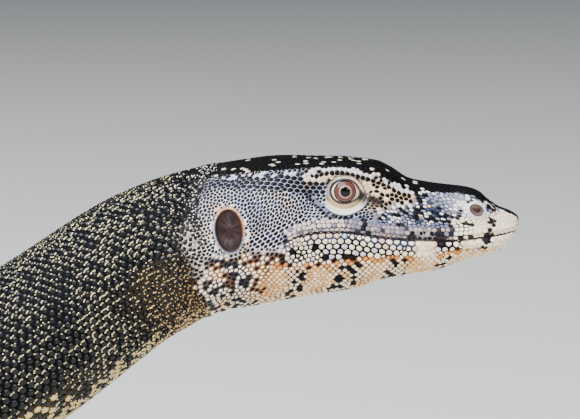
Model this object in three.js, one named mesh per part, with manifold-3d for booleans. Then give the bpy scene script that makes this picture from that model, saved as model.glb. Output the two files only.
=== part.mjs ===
// Water monitor lizard, life size, as a still model: the belly lies on the floor, the forelegs prop
// the chest, the neck rises and the head is held level with the mouth shut.
// Millimetres. +X is the way the head points, +Y the animal's left, +Z up, and the origin is on the
// floor under the middle of the belly.
import * as THREE from "three";
import { mergeVertices } from "three/addons/utils/BufferGeometryUtils.js";
import Module from "manifold-3d";

const wasm = await Module();
wasm.setup();

// Driving sizes. A station is a distance along the spine, counted back from the tip of the snout.
const GAP = 0.3;
const LENGTH = 1552;
const BELLY_STATION = 470;
const HEAD_HEIGHT = 134;
const FORELEG_STATION = 255;
const HINDLEG_STATION = 560;

// A smooth curve through [station, value] pairs that never swings past them.
function track(...pairs) {
  const at = pairs.map((p) => p[0]);
  const value = pairs.map((p) => p[1]);
  const last = at.length - 1;
  const rise = at.slice(1).map((x, i) => (value[i + 1] - value[i]) / (x - at[i]));
  const slope = at.map((_, i) => {
    if (i === 0) return rise[0];
    if (i === last) return rise[last - 1];
    const [a, b] = [rise[i - 1], rise[i]];
    return a * b <= 0 ? 0 : (2 * a * b) / (a + b);
  });
  return (s) => {
    if (s <= at[0]) return value[0];
    if (s >= at[last]) return value[last];
    let i = 0;
    while (s > at[i + 1]) i += 1;
    const span = at[i + 1] - at[i];
    const t = (s - at[i]) / span;
    const near = value[i] * (1 + 2 * t) + slope[i] * span * t;
    const far = value[i + 1] * (3 - 2 * t) + slope[i + 1] * span * (t - 1);
    return near * (1 - t) ** 2 + far * t ** 2;
  };
}

const mix = (a, b, share) => a + (b - a) * share;
const bell = (...offsets) => Math.exp(-offsets.reduce((sum, d) => sum + d * d, 0));

// The trunk, from snout to tail tip. Heights are measured from the spine's reference line.
const top = track(
  [0, 0], [0.6, 2.4], [3, 4.3], [8, 6.3], [11.9, 8.9], [14.8, 11.5], [19, 13.1], [32, 14.8],
  [40.5, 16.4], [47.9, 20.8], [53, 23], [64, 24.1], [88, 24.9], [107, 23.8], [145, 25], [188, 28],
  [235, 33], [300, 40], [420, 42], [520, 39], [600, 32], [700, 25], [1000, 18], [1400, 7],
  [LENGTH, 0],
);
const bottom = track(
  [0, 0], [0.6, -2.6], [2.2, -5.6], [5.2, -9.3], [10, -11.2], [20, -13.9], [30, -17.2],
  [44, -19.7], [53, -21.6], [60, -23.9], [85, -28], [107, -30.5], [188, -32], [235, -34.5],
  [300, -39], [380, -46.5], [460, -46.5], [560, -41], [640, -31], [700, -26.5], [1000, -16.5],
  [1400, -6.5], [LENGTH, 0],
);
const level = track(
  [0, -0.5], [2, -2.5], [6, -3.4], [14.5, -4.4], [25, -5.2], [36, -4.9], [48, -3.8], [57, -2.4],
  [66, -1], [74, -0.9], [81, -1.8], [88.7, -5], [97, -6.8], [135, -5], [188, -4], [300, -6],
  [450, -10], [560, -8], [700, -4], [1000, -1], [LENGTH, 0],
);
const wide = track(
  [0, 0], [0.6, 3.9], [2, 6.4], [5, 9.1], [9, 11.2], [16, 13.4], [28, 15.4], [40, 17.4],
  [50, 19.4], [65, 22.6], [78, 25.8], [90, 28.6], [100, 29.2], [112, 28], [130, 28.5], [188, 32.5],
  [240, 41], [300, 53], [420, 65], [480, 63], [560, 47], [640, 29.5], [700, 23.5], [800, 17.5],
  [1000, 11.5], [1400, 4.6], [LENGTH, 0],
);
const orbitShare = track(
  [0, 0.83], [16, 0.925], [28, 0.84], [40, 0.79], [50, 0.77], [60, 0.73], [66, 0.705], [74, 0.74],
  [85, 0.85], [96, 0.9], [110, 0.924],
);
const browShare = track(
  [0, 0.66], [9, 0.73], [16, 0.78], [28, 0.74], [40, 0.735], [50, 0.765], [60, 0.74], [70, 0.69],
  [120, 0.7], [560, 0.7], [700, 0.62], [1000, 0.55], [LENGTH, 0.5],
);
const dropShare = track(
  [0, 0.2], [16, 0.187], [30, 0.177], [42, 0.153], [52, 0.112], [65, 0.104], [78, 0.13],
  [90, 0.15], [107, 0.2], [130, 0.27], [188, 0.293], [640, 0.3], [1000, 0.34],
);
const jowl = track([0, 0.4], [10, 0.6], [50, 0.9], [85, 0.7], [120, 0.3], [240, 0.15], [380, 0.6],
  [560, 0.5], [640, 0]);

// The spine's height above the floor, and the way it swings to the animal's left, in degrees.
const height = track(
  [0, HEAD_HEIGHT], [90, HEAD_HEIGHT], [113, 132], [130, 126.4], [146, 119.5], [165, 108.2],
  [188, 94.1], [210, 81.7], [235, 71.5], [260, 65], [300, 57.8], [340, 52], [380, 47.5],
  [420, 45.5], [480, 44.5], [560, 39.5], [600, 34.5], [640, 30], [700, 25.7], [1000, 15.8],
  [1400, 5.9], [LENGTH, 0.7],
);
const swing = track(
  [0, 0], [190, 0], [280, 7], [400, 3], [520, -9], [640, -22], [760, -24], [900, 0], [1040, 28],
  [1200, 34], [1350, 12], [LENGTH, -12],
);

// The spine is walked a millimetre at a time, with its height smoothed so that it has no corners.
const SMOOTHING = 9;
const spine = (() => {
  const average = (values) =>
    values.map((_, i) => {
      let sum = 0;
      for (let k = -SMOOTHING; k <= SMOOTHING; k += 1)
        sum += values[Math.min(Math.max(i + k, 0), values.length - 1)];
      return sum / (2 * SMOOTHING + 1);
    });
  const heights = average(average(Array.from({ length: LENGTH + 1 }, (_, s) => height(s))));
  const points = [new THREE.Vector3(0, 0, heights[0])];
  for (let s = 1; s <= LENGTH; s += 1) {
    const fall = heights[s] - heights[s - 1];
    const along = Math.sqrt(1 - fall * fall);
    const turn = THREE.MathUtils.degToRad(swing(s - 0.5));
    points.push(
      points[s - 1].clone().add(
        new THREE.Vector3(-Math.cos(turn) * along, Math.sin(turn) * along, fall),
      ),
    );
  }
  const origin = points[BELLY_STATION].clone().setZ(0);
  return points.map((p) => p.sub(origin));
})();

// Where the spine is at a station, with the directions back along it, to the left and up from it.
const SPAN = 3;
function spinePoint(s) {
  const held = Math.min(Math.max(s, 0), LENGTH);
  const i = Math.min(Math.floor(held), LENGTH - 1);
  return spine[i].clone().lerp(spine[i + 1], held - i);
}
function spineAt(s) {
  const back = spinePoint(s + SPAN).sub(spinePoint(s - SPAN)).normalize();
  const left = new THREE.Vector3(back.y, -back.x, 0).normalize();
  return { at: spinePoint(s), back, left, up: left.clone().cross(back) };
}

// A point on or off the trunk, from its station, its distance to the left and its height.
function place(s, y, z) {
  const { at, left, up } = spineAt(s);
  return at.clone().addScaledVector(left, y).addScaledVector(up, z);
}

// Swellings and hollows of the head's and neck's sides, in millimetres outwards.
function relief(s, z) {
  const lipSpan = 1 / (1 + Math.exp((s - 84) / 2));
  const fromMouth = z - level(s);
  const browRidge = 1.3 * bell((s - 61) / 17, (z - mix(top(s), level(s), 0.17)) / 2.6);
  const jawMuscle = 2.2 * bell((s - 91) / 11, (z - 5) / 8);
  const nostrilSwelling = 1.3 * bell((s - 16.5) / 5, (z - 5.5) / 4);
  const lips = 0.5 * (bell((fromMouth - 2.2) / 1.4) + bell((fromMouth + 2.4) / 1.4)) * lipSpan;
  const mouthGroove = -0.9 * bell(fromMouth / 0.6) * lipSpan * Math.min(1, s / 4);
  const earHollow = -0.8 * bell((s - 107) / 7, (z - 1) / 9);
  const neckFold = -1.6 * bell((s - 123 + 0.25 * z) / 3.5);
  return browRidge + jawMuscle + nostrilSwelling + lips + mouthGroove + earHollow + neckFold;
}

// The half section at a station: nine points from the midline of the back to that of the belly.
function halfSection(s) {
  const [up, down, mid, side] = [top(s), bottom(s), level(s), wide(s)];
  const brow = side * browShare(s);
  const browDrop = (up - mid) * dropShare(s);
  const orbit = side * orbitShare(s);
  const square = jowl(s);
  return [
    [0, up],
    [0.56 * brow, up - 0.25 * browDrop],
    [brow, up - browDrop],
    [orbit, mix(mid, up - browDrop, 0.55)],
    [mix(orbit, side, 0.76), mix(mid, up - browDrop, 0.27)],
    [side, mid],
    [side * (0.78 + 0.14 * square), mix(mid, down, 0.62 - 0.1 * square)],
    [side * (0.42 + 0.18 * square), mix(mid, down, 0.92)],
    [0, down],
  ];
}

// A closed section at a station: a smooth curve through the half section and its mirror image, with
// the given number of steps in each stretch. swell moves it outwards.
function section(s, steps, swell = 0) {
  const half = halfSection(s);
  const whole = [...half, ...half.slice(1, -1).reverse().map(([y, z]) => [-y, z])];
  const count = whole.length;
  const point = (i) => whole[(i + count) % count];
  const flat = [];
  for (let i = 0; i < count; i += 1) {
    const stretch = i < 8 ? i : 15 - i;
    for (let k = 0; k < steps[stretch]; k += 1) {
      const t = k / steps[stretch];
      const [a, b, c, d] = [point(i - 1), point(i), point(i + 1), point(i + 2)];
      flat.push(
        [0, 1].map(
          (j) =>
            b[j] +
            0.5 * t * (c[j] - a[j] + t * (2 * a[j] - 5 * b[j] + 4 * c[j] - d[j] +
              t * (3 * (b[j] - c[j]) + d[j] - a[j]))),
        ),
      );
    }
  }
  return flat.map(([y, z], i) => {
    const before = flat[(i + flat.length - 1) % flat.length];
    const after = flat[(i + 1) % flat.length];
    const along = [after[0] - before[0], after[1] - before[1]];
    const size = Math.hypot(...along) || 1;
    const out = swell + relief(s, z) * Math.min(1, (2 * Math.abs(y)) / (wide(s) + 0.01));
    return place(s, y - (along[1] / size) * out, z + (along[0] / size) * out);
  });
}

// A closed surface over a row of rings with equal counts. A ring of one point ends it in a tip, and
// any other end is a flat cap.
function loft(rings) {
  const positions = [];
  const face = (a, b, c) => positions.push(...a.toArray(), ...b.toArray(), ...c.toArray());
  const cap = (ring, turned) => {
    if (ring.length === 1) return;
    const centre = ring.reduce((sum, p) => sum.add(p), new THREE.Vector3());
    centre.divideScalar(ring.length);
    ring.forEach((p, i) => {
      const next = ring[(i + 1) % ring.length];
      if (turned) face(centre, p, next);
      else face(centre, next, p);
    });
  };
  cap(rings[0], false);
  for (let r = 1; r < rings.length; r += 1) {
    const [a, b] = [rings[r - 1], rings[r]];
    const count = Math.max(a.length, b.length);
    for (let i = 0; i < count; i += 1) {
      const j = (i + 1) % count;
      if (a.length === 1) face(a[0], b[j], b[i]);
      else if (b.length === 1) face(a[i], a[j], b[0]);
      else if (a[i].distanceTo(b[j]) < a[j].distanceTo(b[i])) {
        face(a[i], a[j], b[j]);
        face(a[i], b[j], b[i]);
      } else {
        face(a[i], a[j], b[i]);
        face(a[j], b[j], b[i]);
      }
    }
  }
  cap(rings[rings.length - 1], true);
  const geometry = new THREE.BufferGeometry();
  geometry.setAttribute("position", new THREE.Float32BufferAttribute(positions, 3));
  return geometry;
}

// A geometry as a solid that can be joined and cut, turned the right way out.
function solid(geometry) {
  const bare = geometry.clone();
  bare.deleteAttribute("normal");
  bare.deleteAttribute("uv");
  const merged = mergeVertices(bare, 1e-4);
  const triVerts = new Uint32Array(merged.index.array);
  const vertProperties = merged.attributes.position.array;
  const made = new wasm.Manifold(new wasm.Mesh({ numProp: 3, vertProperties, triVerts }));
  if (made.volume() > 0) return made;
  for (let i = 0; i < triVerts.length; i += 3)
    [triVerts[i + 1], triVerts[i + 2]] = [triVerts[i + 2], triVerts[i + 1]];
  return new wasm.Manifold(new wasm.Mesh({ numProp: 3, vertProperties, triVerts }));
}

// The largest body of a solid, without any scrap that a cut leaves.
function largest(made) {
  return made.decompose().reduce((best, each) => (each.volume() > best.volume() ? each : best));
}

// What is left of a solid above the floor, so that it rests on small flats.
const ground = solid(new THREE.BoxGeometry(3000, 1600, 60).translate(0, 0, -30));
const onFloor = (made) => made.subtract(ground);

const animal = new THREE.Group();

function add(name, made, material) {
  const { vertProperties, triVerts, numProp, numVert } = largest(made).getMesh();
  const position = new Float32Array(numVert * 3);
  for (let i = 0; i < numVert; i += 1)
    position.set(vertProperties.subarray(i * numProp, i * numProp + 3), i * 3);
  const geometry = new THREE.BufferGeometry();
  geometry.setAttribute("position", new THREE.BufferAttribute(position, 3));
  geometry.setIndex(new THREE.BufferAttribute(triVerts, 1));
  geometry.computeVertexNormals();
  const mesh = new THREE.Mesh(geometry, material);
  mesh.name = name;
  animal.add(mesh);
}

const finish = (color, roughness) =>
  new THREE.MeshStandardMaterial({ color, roughness, metalness: 0 });
const headSkin = finish(0x8f8473, 0.5);
const darkSkin = finish(0x2a2722, 0.45);
const limbSkin = finish(0x35302a, 0.5);
const clawHorn = finish(0x17130f, 0.35);
const eyeGlaze = finish(0x4a2c22, 0.08);
const eardrumSkin = finish(0x3b2a28, 0.3);

// Stations from one end of a stretch to the other, their spacing read from a track.
function stationsBetween(start, end, spacing) {
  const found = [start];
  while (found[found.length - 1] < end)
    found.push(found[found.length - 1] + spacing(found[found.length - 1]));
  const scale = (end - start) / (found[found.length - 1] - start);
  return found.map((s) => start + (s - start) * scale);
}

const stationSpacing = track(
  [0, 0.5], [2, 1.3], [8, 2.8], [30, 4.2], [50, 3.4], [76, 3.4], [118, 5], [140, 8], [220, 10],
  [300, 15], [600, 16], [800, 21], [LENGTH, 26],
);
const HEAD_STEPS = [1, 1, 3, 2, 2, 3, 2, 1];
const BODY_STEPS = [1, 2, 2, 1, 1, 2, 2, 1];
const TAIL_STEPS = [1, 1, 1, 1, 1, 1, 1, 1];

function trunk(start, end, steps, swell = 0) {
  const rings = stationsBetween(start, end, stationSpacing).map((s) => {
    if (s === 0 || s >= LENGTH) return [place(s, 0, 0)];
    return section(s, steps, swell);
  });
  return solid(loft(rings));
}

// A ball with three radii, along the spine, sideways and upwards, at a place on the head.
const BALL_SIDES = 16;
function ball([s, y, z], [length, breadth, rise], sides = BALL_SIDES) {
  const geometry = new THREE.SphereGeometry(1, sides, sides / 2);
  const centre = place(s, y, z);
  geometry.scale(length, breadth, rise);
  return solid(geometry.translate(centre.x, centre.y, centre.z));
}

// Head
const NECK_CUT = 118;
const EYE = { station: 65.1, out: 12.1, rise: 13.3, radius: 6.4 };
const LIDS = { out: 11.2, long: 10.6, thick: 8, tall: 8.4 };
const EYE_OPENING = { long: 5.2, tall: 4.45 };
const NOSTRIL = { station: 16.3, rise: 5.7, long: 2.6, tall: 1.8, depth: 3.2, tilt: -0.5 };
const EAR = { station: 106.8, rise: 1.4, long: 5.2, tall: 8.5, depth: 3.6, drum: 1.3 };
const MOUTH_CORNER = 88.7;
const snout = place(0, 0, 0);

// How far out the head's side lies at a station and height.
function sideAt(s, z) {
  const half = halfSection(s);
  const i = half.findIndex((p) => p[1] <= z);
  const [above, below] = [half[i - 1], half[i]];
  const share = (above[1] - z) / (above[1] - below[1]);
  return mix(above[0], below[0], share) + relief(s, z);
}

// An oval peg that points sideways, for an opening.
function peg(s, z, inner, outer, long, tall, tilt = 0) {
  const reach = Math.abs(outer - inner);
  const geometry = new THREE.CylinderGeometry(1, 1, reach, 24);
  geometry.scale(long, 1, tall).rotateY(tilt * Math.sign(outer));
  const centre = place(s, (inner + outer) / 2, z);
  return solid(geometry.translate(centre.x, centre.y, centre.z));
}

// The side view of the lower jaw as a thick plate, its edge moved inwards by shift.
function jawPlate(shift) {
  const outline = new THREE.Shape();
  outline.moveTo(6, level(2) - shift);
  for (let s = 0; s <= MOUTH_CORNER; s += 3) outline.lineTo(-s, level(Math.max(s, 2)) - shift);
  outline.lineTo(-MOUTH_CORNER + shift, level(MOUTH_CORNER) - shift);
  outline.lineTo(-101 + shift, -40);
  outline.lineTo(6, -40);
  const plate = new THREE.ExtrudeGeometry(outline, { depth: 90, bevelEnabled: false });
  plate.rotateX(Math.PI / 2).translate(snout.x, snout.y + 45, snout.z);
  return solid(plate);
}

const SIDES = { right: -1, left: 1 };

let skull = trunk(0, NECK_CUT - GAP / 2, HEAD_STEPS);
for (const side of Object.values(SIDES)) {
  skull = skull.add(ball([EYE.station, side * LIDS.out, EYE.rise], [LIDS.long, LIDS.thick, LIDS.tall]));
}
for (const side of Object.values(SIDES)) {
  const socketRadius = EYE.radius + GAP;
  const eyeSocket = ball(
    [EYE.station, side * EYE.out, EYE.rise],
    [socketRadius, socketRadius, socketRadius],
  );
  const eyeOpening = peg(EYE.station, EYE.rise, side * EYE.out, side * 30, EYE_OPENING.long,
    EYE_OPENING.tall);
  const nostrilSide = sideAt(NOSTRIL.station, NOSTRIL.rise);
  const nostril = peg(NOSTRIL.station, NOSTRIL.rise, side * (nostrilSide - NOSTRIL.depth),
    side * 30, NOSTRIL.long, NOSTRIL.tall, NOSTRIL.tilt);
  const earSide = side * sideAt(EAR.station, EAR.rise);
  const earCup = ball([EAR.station, earSide, EAR.rise], [EAR.long, EAR.depth, EAR.tall]);
  skull = skull.subtract(eyeSocket).subtract(eyeOpening).subtract(nostril).subtract(earCup);
}
add("head", skull.subtract(jawPlate(-GAP / 2)), headSkin);
add("lower_jaw", skull.intersect(jawPlate(GAP / 2)), headSkin);

for (const [name, side] of Object.entries(SIDES)) {
  const eyeball = ball(
    [EYE.station, side * EYE.out, EYE.rise],
    [EYE.radius, EYE.radius, EYE.radius],
  );
  add(`eye_${name}`, eyeball, eyeGlaze);
  const earSide = sideAt(EAR.station, EAR.rise);
  const drum = ball(
    [EAR.station, side * earSide, EAR.rise],
    [EAR.long - GAP, EAR.depth - GAP, EAR.tall - GAP],
  );
  const inside = peg(EAR.station, EAR.rise, side * (earSide - 12), side * (earSide - EAR.drum),
    20, 20);
  add(`eardrum_${name}`, drum.intersect(inside), eardrumSkin);
}

// Neck, torso and tail, parted across the spine
const BODY_PARTS = [
  ["neck", NECK_CUT, 232, BODY_STEPS, darkSkin],
  ["chest", 232, 345, BODY_STEPS, darkSkin],
  ["belly", 345, 515, BODY_STEPS, darkSkin],
  ["hips", 515, 622, BODY_STEPS, darkSkin],
  ["tail_1", 622, 770, TAIL_STEPS, darkSkin],
  ["tail_2", 770, 940, TAIL_STEPS, darkSkin],
  ["tail_3", 940, 1130, TAIL_STEPS, darkSkin],
  ["tail_4", 1130, 1335, TAIL_STEPS, darkSkin],
  ["tail_5", 1335, LENGTH, TAIL_STEPS, darkSkin],
];
for (const [name, start, end, steps, material] of BODY_PARTS) {
  const stop = end === LENGTH ? end : end - GAP / 2;
  add(name, onFloor(trunk(start + GAP / 2, stop, steps)), material);
}
const aroundTorso = trunk(205, 730, BODY_STEPS, GAP);

// Limbs. A limb's joints are forward of, outward from and above the floor under its station. Its
// toes lie along a heading turned outwards from the way the trunk points there.
const FORELEG = {
  station: FORELEG_STATION,
  upper: { name: "upper_arm", thick: track([0, 19], [0.4, 16], [1, 11.5]),
    broad: track([0, 22], [0.4, 17], [1, 12.5]) },
  lower: { name: "forearm", thick: track([0, 11.5], [0.3, 12.2], [0.8, 8.2], [1, 7.8]),
    broad: track([0, 12], [0.3, 13.2], [0.8, 9.2], [1, 9.4]) },
  foot: "hand",
  sole: { long: 23, thick: track([0, 7.4], [0.6, 6.6], [1, 5.2]),
    broad: track([0, 9], [0.6, 12.6], [1, 12.6]) },
  digits: [
    { lead: 12, side: -8.6, turn: -44, long: 19 },
    { lead: 17, side: -6, turn: -20, long: 25 },
    { lead: 19, side: -0.6, turn: 1, long: 28 },
    { lead: 18, side: 5, turn: 22, long: 26 },
    { lead: 12, side: 8.4, turn: 55, long: 20 },
  ],
  digitRadius: 4.1,
  clawLength: 12.5,
};
const HINDLEG = {
  station: HINDLEG_STATION,
  upper: { name: "thigh", thick: track([0, 25], [0.45, 20], [1, 13.5]),
    broad: track([0, 29], [0.45, 23], [1, 14.5]) },
  lower: { name: "shin", thick: track([0, 13.5], [0.3, 14.4], [0.8, 9.2], [1, 8.4]),
    broad: track([0, 14], [0.3, 15.6], [0.8, 10.2], [1, 10]) },
  foot: "foot",
  sole: { long: 37, thick: track([0, 8], [0.6, 6.8], [1, 5.4]),
    broad: track([0, 10], [0.6, 13.6], [1, 13]) },
  digits: [
    { lead: 24, side: -9, turn: -28, long: 21 },
    { lead: 30, side: -6.6, turn: -13, long: 31 },
    { lead: 33, side: -1.4, turn: 0, long: 40 },
    { lead: 32, side: 4.6, turn: 13, long: 48 },
    { lead: 13, side: 9.6, turn: 46, long: 30 },
  ],
  digitRadius: 4.4,
  clawLength: 14,
};
const LEGS = [
  { name: "right", side: -1, kind: FORELEG, joints: [[4, 22, 56], [-26, 88, 60], [8, 97, 12]],
    turn: 22 },
  { name: "left", side: 1, kind: FORELEG, joints: [[2, 22, 56], [-42, 83, 57], [-15, 100, 12]],
    turn: 28 },
  { name: "right", side: -1, kind: HINDLEG, joints: [[-4, 20, 42], [48, 88, 48], [2, 108, 13]],
    turn: 33 },
  { name: "left", side: 1, kind: HINDLEG, joints: [[-4, 20, 42], [64, 76, 48], [26, 106, 13]],
    turn: 27 },
];
const UP = new THREE.Vector3(0, 0, 1);
const LIMB_SIDES = 12;
const LIMB_RINGS = 4;
const ROUNDING = [0.87, 0.5];

// An oval ring about a point, with its uppermost point first.
function ovalRing(centre, up, across, thick, broad, sides) {
  return Array.from({ length: sides }, (_, k) => {
    const angle = (2 * Math.PI * k) / sides;
    return centre.clone()
      .addScaledVector(up, thick * Math.cos(angle))
      .addScaledVector(across, broad * Math.sin(angle));
  });
}

// A stretch of limb between two joints, with a half ball at each end.
function spindle(from, to, thick, broad) {
  const along = to.clone().sub(from).normalize();
  const up = UP.clone().addScaledVector(along, -UP.dot(along)).normalize();
  const across = along.clone().cross(up);
  const ring = (share, past) => {
    const centre = from.clone().lerp(to, share).addScaledVector(along, past * thick(share));
    const shrink = Math.sqrt(1 - past * past);
    return ovalRing(centre, up, across, shrink * thick(share), shrink * broad(share), LIMB_SIDES);
  };
  const middle = Array.from({ length: LIMB_RINGS + 1 }, (_, i) => ring(i / LIMB_RINGS, 0));
  return solid(loft([
    [from.clone().addScaledVector(along, -thick(0))],
    ...ROUNDING.map((past) => ring(0, -past)),
    ...middle,
    ...[...ROUNDING].reverse().map((past) => ring(1, past)),
    [to.clone().addScaledVector(along, thick(1))],
  ]));
}

// The two sides of a thin flat cut through a joint, square to the mean of two directions.
function partedAt(made, joint, before, after) {
  const normal = before.clone().add(after).normalize();
  const reach = joint.dot(normal);
  return [
    made.splitByPlane(normal.toArray(), reach - GAP / 2)[1],
    made.splitByPlane(normal.toArray(), reach + GAP / 2)[0],
  ];
}

// A digit arches over its first joint, comes down on its pad and ends where its claw begins.
const digitGirth = track([0, 1.1], [0.2, 0.96], [0.4, 1.04], [0.62, 0.84], [0.84, 0.92], [1, 0.74]);
const digitRise = track([0, 5.4], [0.36, 6.4], [0.66, 4.4], [0.84, 3.4], [1, 3.1]);
const clawGirth = track([0, 2.7], [0.3, 2.2], [0.7, 1.25], [1, 0.3]);
const clawRise = track([0, 3.5], [0.35, 4.6], [0.75, 3], [1, 0.5]);
const soleRise = track([0, 9], [0.5, 6.2], [1, 4.8]);

// A row of oval rings that runs out level from a point, its heights read from a track.
function levelRow(root, heading, reach, rise, thick, broad, sides, count) {
  const across = UP.clone().cross(heading);
  const centre = (share) => root.clone().addScaledVector(heading, reach * share).setZ(rise(share));
  return Array.from({ length: count + 1 }, (_, i) => {
    const isEnd = i === 0 || i === count;
    const slant = centre((i + 0.5) / count).sub(centre((i - 0.5) / count)).normalize();
    const up = (isEnd ? heading : slant).clone().cross(across);
    const share = i / count;
    return ovalRing(centre(share), up, across, thick(share), broad(share), sides);
  });
}

for (const { name, side, kind, joints, turn } of LEGS) {
  const { at, back, left } = spineAt(kind.station);
  const forward = back.clone().negate().setZ(0).normalize();
  const outward = left.clone().multiplyScalar(side);
  const [root, knee, ankle] = joints.map(([ahead, out, rise]) =>
    at.clone().setZ(rise).addScaledVector(forward, ahead).addScaledVector(outward, out));
  const turned = (direction, degrees) =>
    direction.clone().applyAxisAngle(UP, -side * THREE.MathUtils.degToRad(degrees));
  const toes = turned(forward, -turn);
  const across = turned(outward, -turn);

  let foot = solid(loft(levelRow(ankle, toes, kind.sole.long, soleRise, kind.sole.thick,
    kind.sole.broad, LIMB_SIDES, 4)));
  kind.digits.forEach((digit, i) => {
    const heading = turned(toes, -digit.turn);
    const knuckle = ankle.clone().addScaledVector(toes, digit.lead)
      .addScaledVector(across, digit.side);
    const girth = (share) => kind.digitRadius * digitGirth(share);
    foot = foot.add(solid(loft(levelRow(knuckle, heading, digit.long, digitRise, girth, girth,
      7, 5))));
    const clawRoot = knuckle.clone().addScaledVector(heading, digit.long + GAP);
    const claw = solid(loft(levelRow(clawRoot, heading, kind.clawLength, clawRise, clawGirth,
      (share) => 0.72 * clawGirth(share), 6, 4)));
    add(`claw_${kind.foot}_${name}_${i + 1}`, claw, clawHorn);
  });

  const upper = spindle(root, knee, kind.upper.thick, kind.upper.broad);
  const lower = spindle(knee, ankle, kind.lower.thick, kind.lower.broad);
  const limb = onFloor(upper.add(lower).add(foot).subtract(aroundTorso));
  const downThigh = knee.clone().sub(root).normalize();
  const downShin = ankle.clone().sub(knee).normalize();
  const [thigh, rest] = partedAt(limb, knee, downThigh, downShin);
  const [shin, wholeFoot] = partedAt(rest, ankle, downShin, toes);
  add(`${kind.upper.name}_${name}`, thigh, limbSkin);
  add(`${kind.lower.name}_${name}`, shin, limbSkin);
  add(`${kind.foot}_${name}`, wholeFoot, limbSkin);
}

export default animal;
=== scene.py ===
import bpy
import numpy as np
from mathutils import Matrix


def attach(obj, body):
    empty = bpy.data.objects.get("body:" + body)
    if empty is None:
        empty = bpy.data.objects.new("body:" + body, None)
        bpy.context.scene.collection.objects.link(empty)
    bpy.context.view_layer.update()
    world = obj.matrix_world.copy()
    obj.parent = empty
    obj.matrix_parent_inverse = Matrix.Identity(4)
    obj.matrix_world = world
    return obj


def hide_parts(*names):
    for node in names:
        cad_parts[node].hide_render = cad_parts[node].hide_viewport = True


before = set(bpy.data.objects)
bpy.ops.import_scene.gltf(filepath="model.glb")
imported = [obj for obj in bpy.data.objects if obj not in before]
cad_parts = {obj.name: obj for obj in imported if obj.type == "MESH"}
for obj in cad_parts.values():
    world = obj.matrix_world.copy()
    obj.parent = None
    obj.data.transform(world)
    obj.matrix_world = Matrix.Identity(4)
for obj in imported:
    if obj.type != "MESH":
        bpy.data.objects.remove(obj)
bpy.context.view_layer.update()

# Hide of the trunk. From the snout to the tip of the tail a monitor is one tube of skin over the
# skull, the ribs and the tail bones. Here it is one grid, station by station along the spine and
# turn by turn round it, in millimetres, and it lies inside the true outline by the scales' depth.
LENGTH = 1552
BELLY_STATION = 470
HEAD_HEIGHT = 134
NECK_START = 118
METRES = 0.001


def track(*pairs):
    """A smooth curve through (station, value) pairs: cubic Hermite stretches whose inner slopes are
    the harmonic mean of the rises before and after, or level where the curve turns back."""
    at, value = np.array(pairs, float).T
    rise = np.diff(value) / np.diff(at)
    before, after = rise[:-1], rise[1:]
    total = np.where(before * after > 0, before + after, 1)
    inner = np.where(before * after > 0, 2 * before * after / total, 0)
    slope = np.concatenate([rise[:1], inner, rise[-1:]])

    def curve(s):
        held = np.clip(s, at[0], at[-1])
        i = np.clip(np.searchsorted(at, held) - 1, 0, len(rise) - 1)
        span = at[i + 1] - at[i]
        t = (held - at[i]) / span
        near = value[i] * (1 + 2 * t) + slope[i] * span * t
        far = value[i + 1] * (3 - 2 * t) + slope[i + 1] * span * (t - 1)
        return near * (1 - t) ** 2 + far * t**2

    return curve


def mix(a, b, share):
    return a + (b - a) * share


def bell(*offsets):
    """One at the middle, falling off as exp of minus the sum of the squared offsets."""
    return np.exp(-sum(offset**2 for offset in offsets))


def unit(vectors, least=0):
    """Vectors made one long, except that those shorter than the least length stay shorter."""
    return vectors / np.maximum(np.linalg.norm(vectors, axis=-1, keepdims=True), least)


top = track(
    (0, 0), (0.6, 2.4), (3, 4.3), (8, 6.3), (11.9, 8.9), (14.8, 11.5), (19, 13.1), (32, 14.8),
    (40.5, 16.4), (47.9, 20.8), (53, 23), (64, 24.1), (88, 24.9), (107, 23.8), (145, 25), (188, 28),
    (235, 33), (300, 40), (420, 42), (520, 39), (600, 32), (700, 25), (1000, 18), (1400, 7),
    (LENGTH, 0),
)
bottom = track(
    (0, 0), (0.6, -2.6), (2.2, -5.6), (5.2, -9.3), (10, -11.2), (20, -13.9), (30, -17.2),
    (44, -19.7), (53, -21.6), (60, -23.9), (85, -28), (107, -30.5), (188, -32), (235, -34.5),
    (300, -39), (380, -46.5), (460, -46.5), (560, -41), (640, -31), (700, -26.5), (1000, -16.5),
    (1400, -6.5), (LENGTH, 0),
)
level = track(
    (0, -0.5), (2, -2.5), (6, -3.4), (14.5, -4.4), (25, -5.2), (36, -4.9), (48, -3.8), (57, -2.4),
    (66, -1), (74, -0.9), (81, -1.8), (88.7, -5), (97, -6.8), (135, -5), (188, -4), (300, -6),
    (450, -10), (560, -8), (700, -4), (1000, -1), (LENGTH, 0),
)
wide = track(
    (0, 0), (0.6, 3.9), (2, 6.4), (5, 9.1), (9, 11.2), (16, 13.4), (28, 15.4), (40, 17.4),
    (50, 19.4), (65, 22.6), (78, 25.8), (90, 28.6), (100, 29.2), (112, 28), (130, 28.5),
    (188, 32.5), (240, 41), (300, 53), (420, 65), (480, 63), (560, 47), (640, 29.5), (700, 23.5),
    (800, 17.5), (1000, 11.5), (1400, 4.6), (LENGTH, 0),
)
orbit_share = track(
    (0, 0.83), (16, 0.925), (28, 0.84), (40, 0.79), (50, 0.77), (60, 0.73), (66, 0.705), (74, 0.74),
    (85, 0.85), (96, 0.9), (110, 0.924),
)
brow_share = track(
    (0, 0.66), (9, 0.73), (16, 0.78), (28, 0.74), (40, 0.735), (50, 0.765), (60, 0.74), (70, 0.69),
    (120, 0.7), (560, 0.7), (700, 0.62), (1000, 0.55), (LENGTH, 0.5),
)
drop_share = track(
    (0, 0.2), (16, 0.187), (30, 0.177), (42, 0.153), (52, 0.112), (65, 0.104), (78, 0.13),
    (90, 0.15), (107, 0.2), (130, 0.27), (188, 0.293), (640, 0.3), (1000, 0.34),
)
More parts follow.
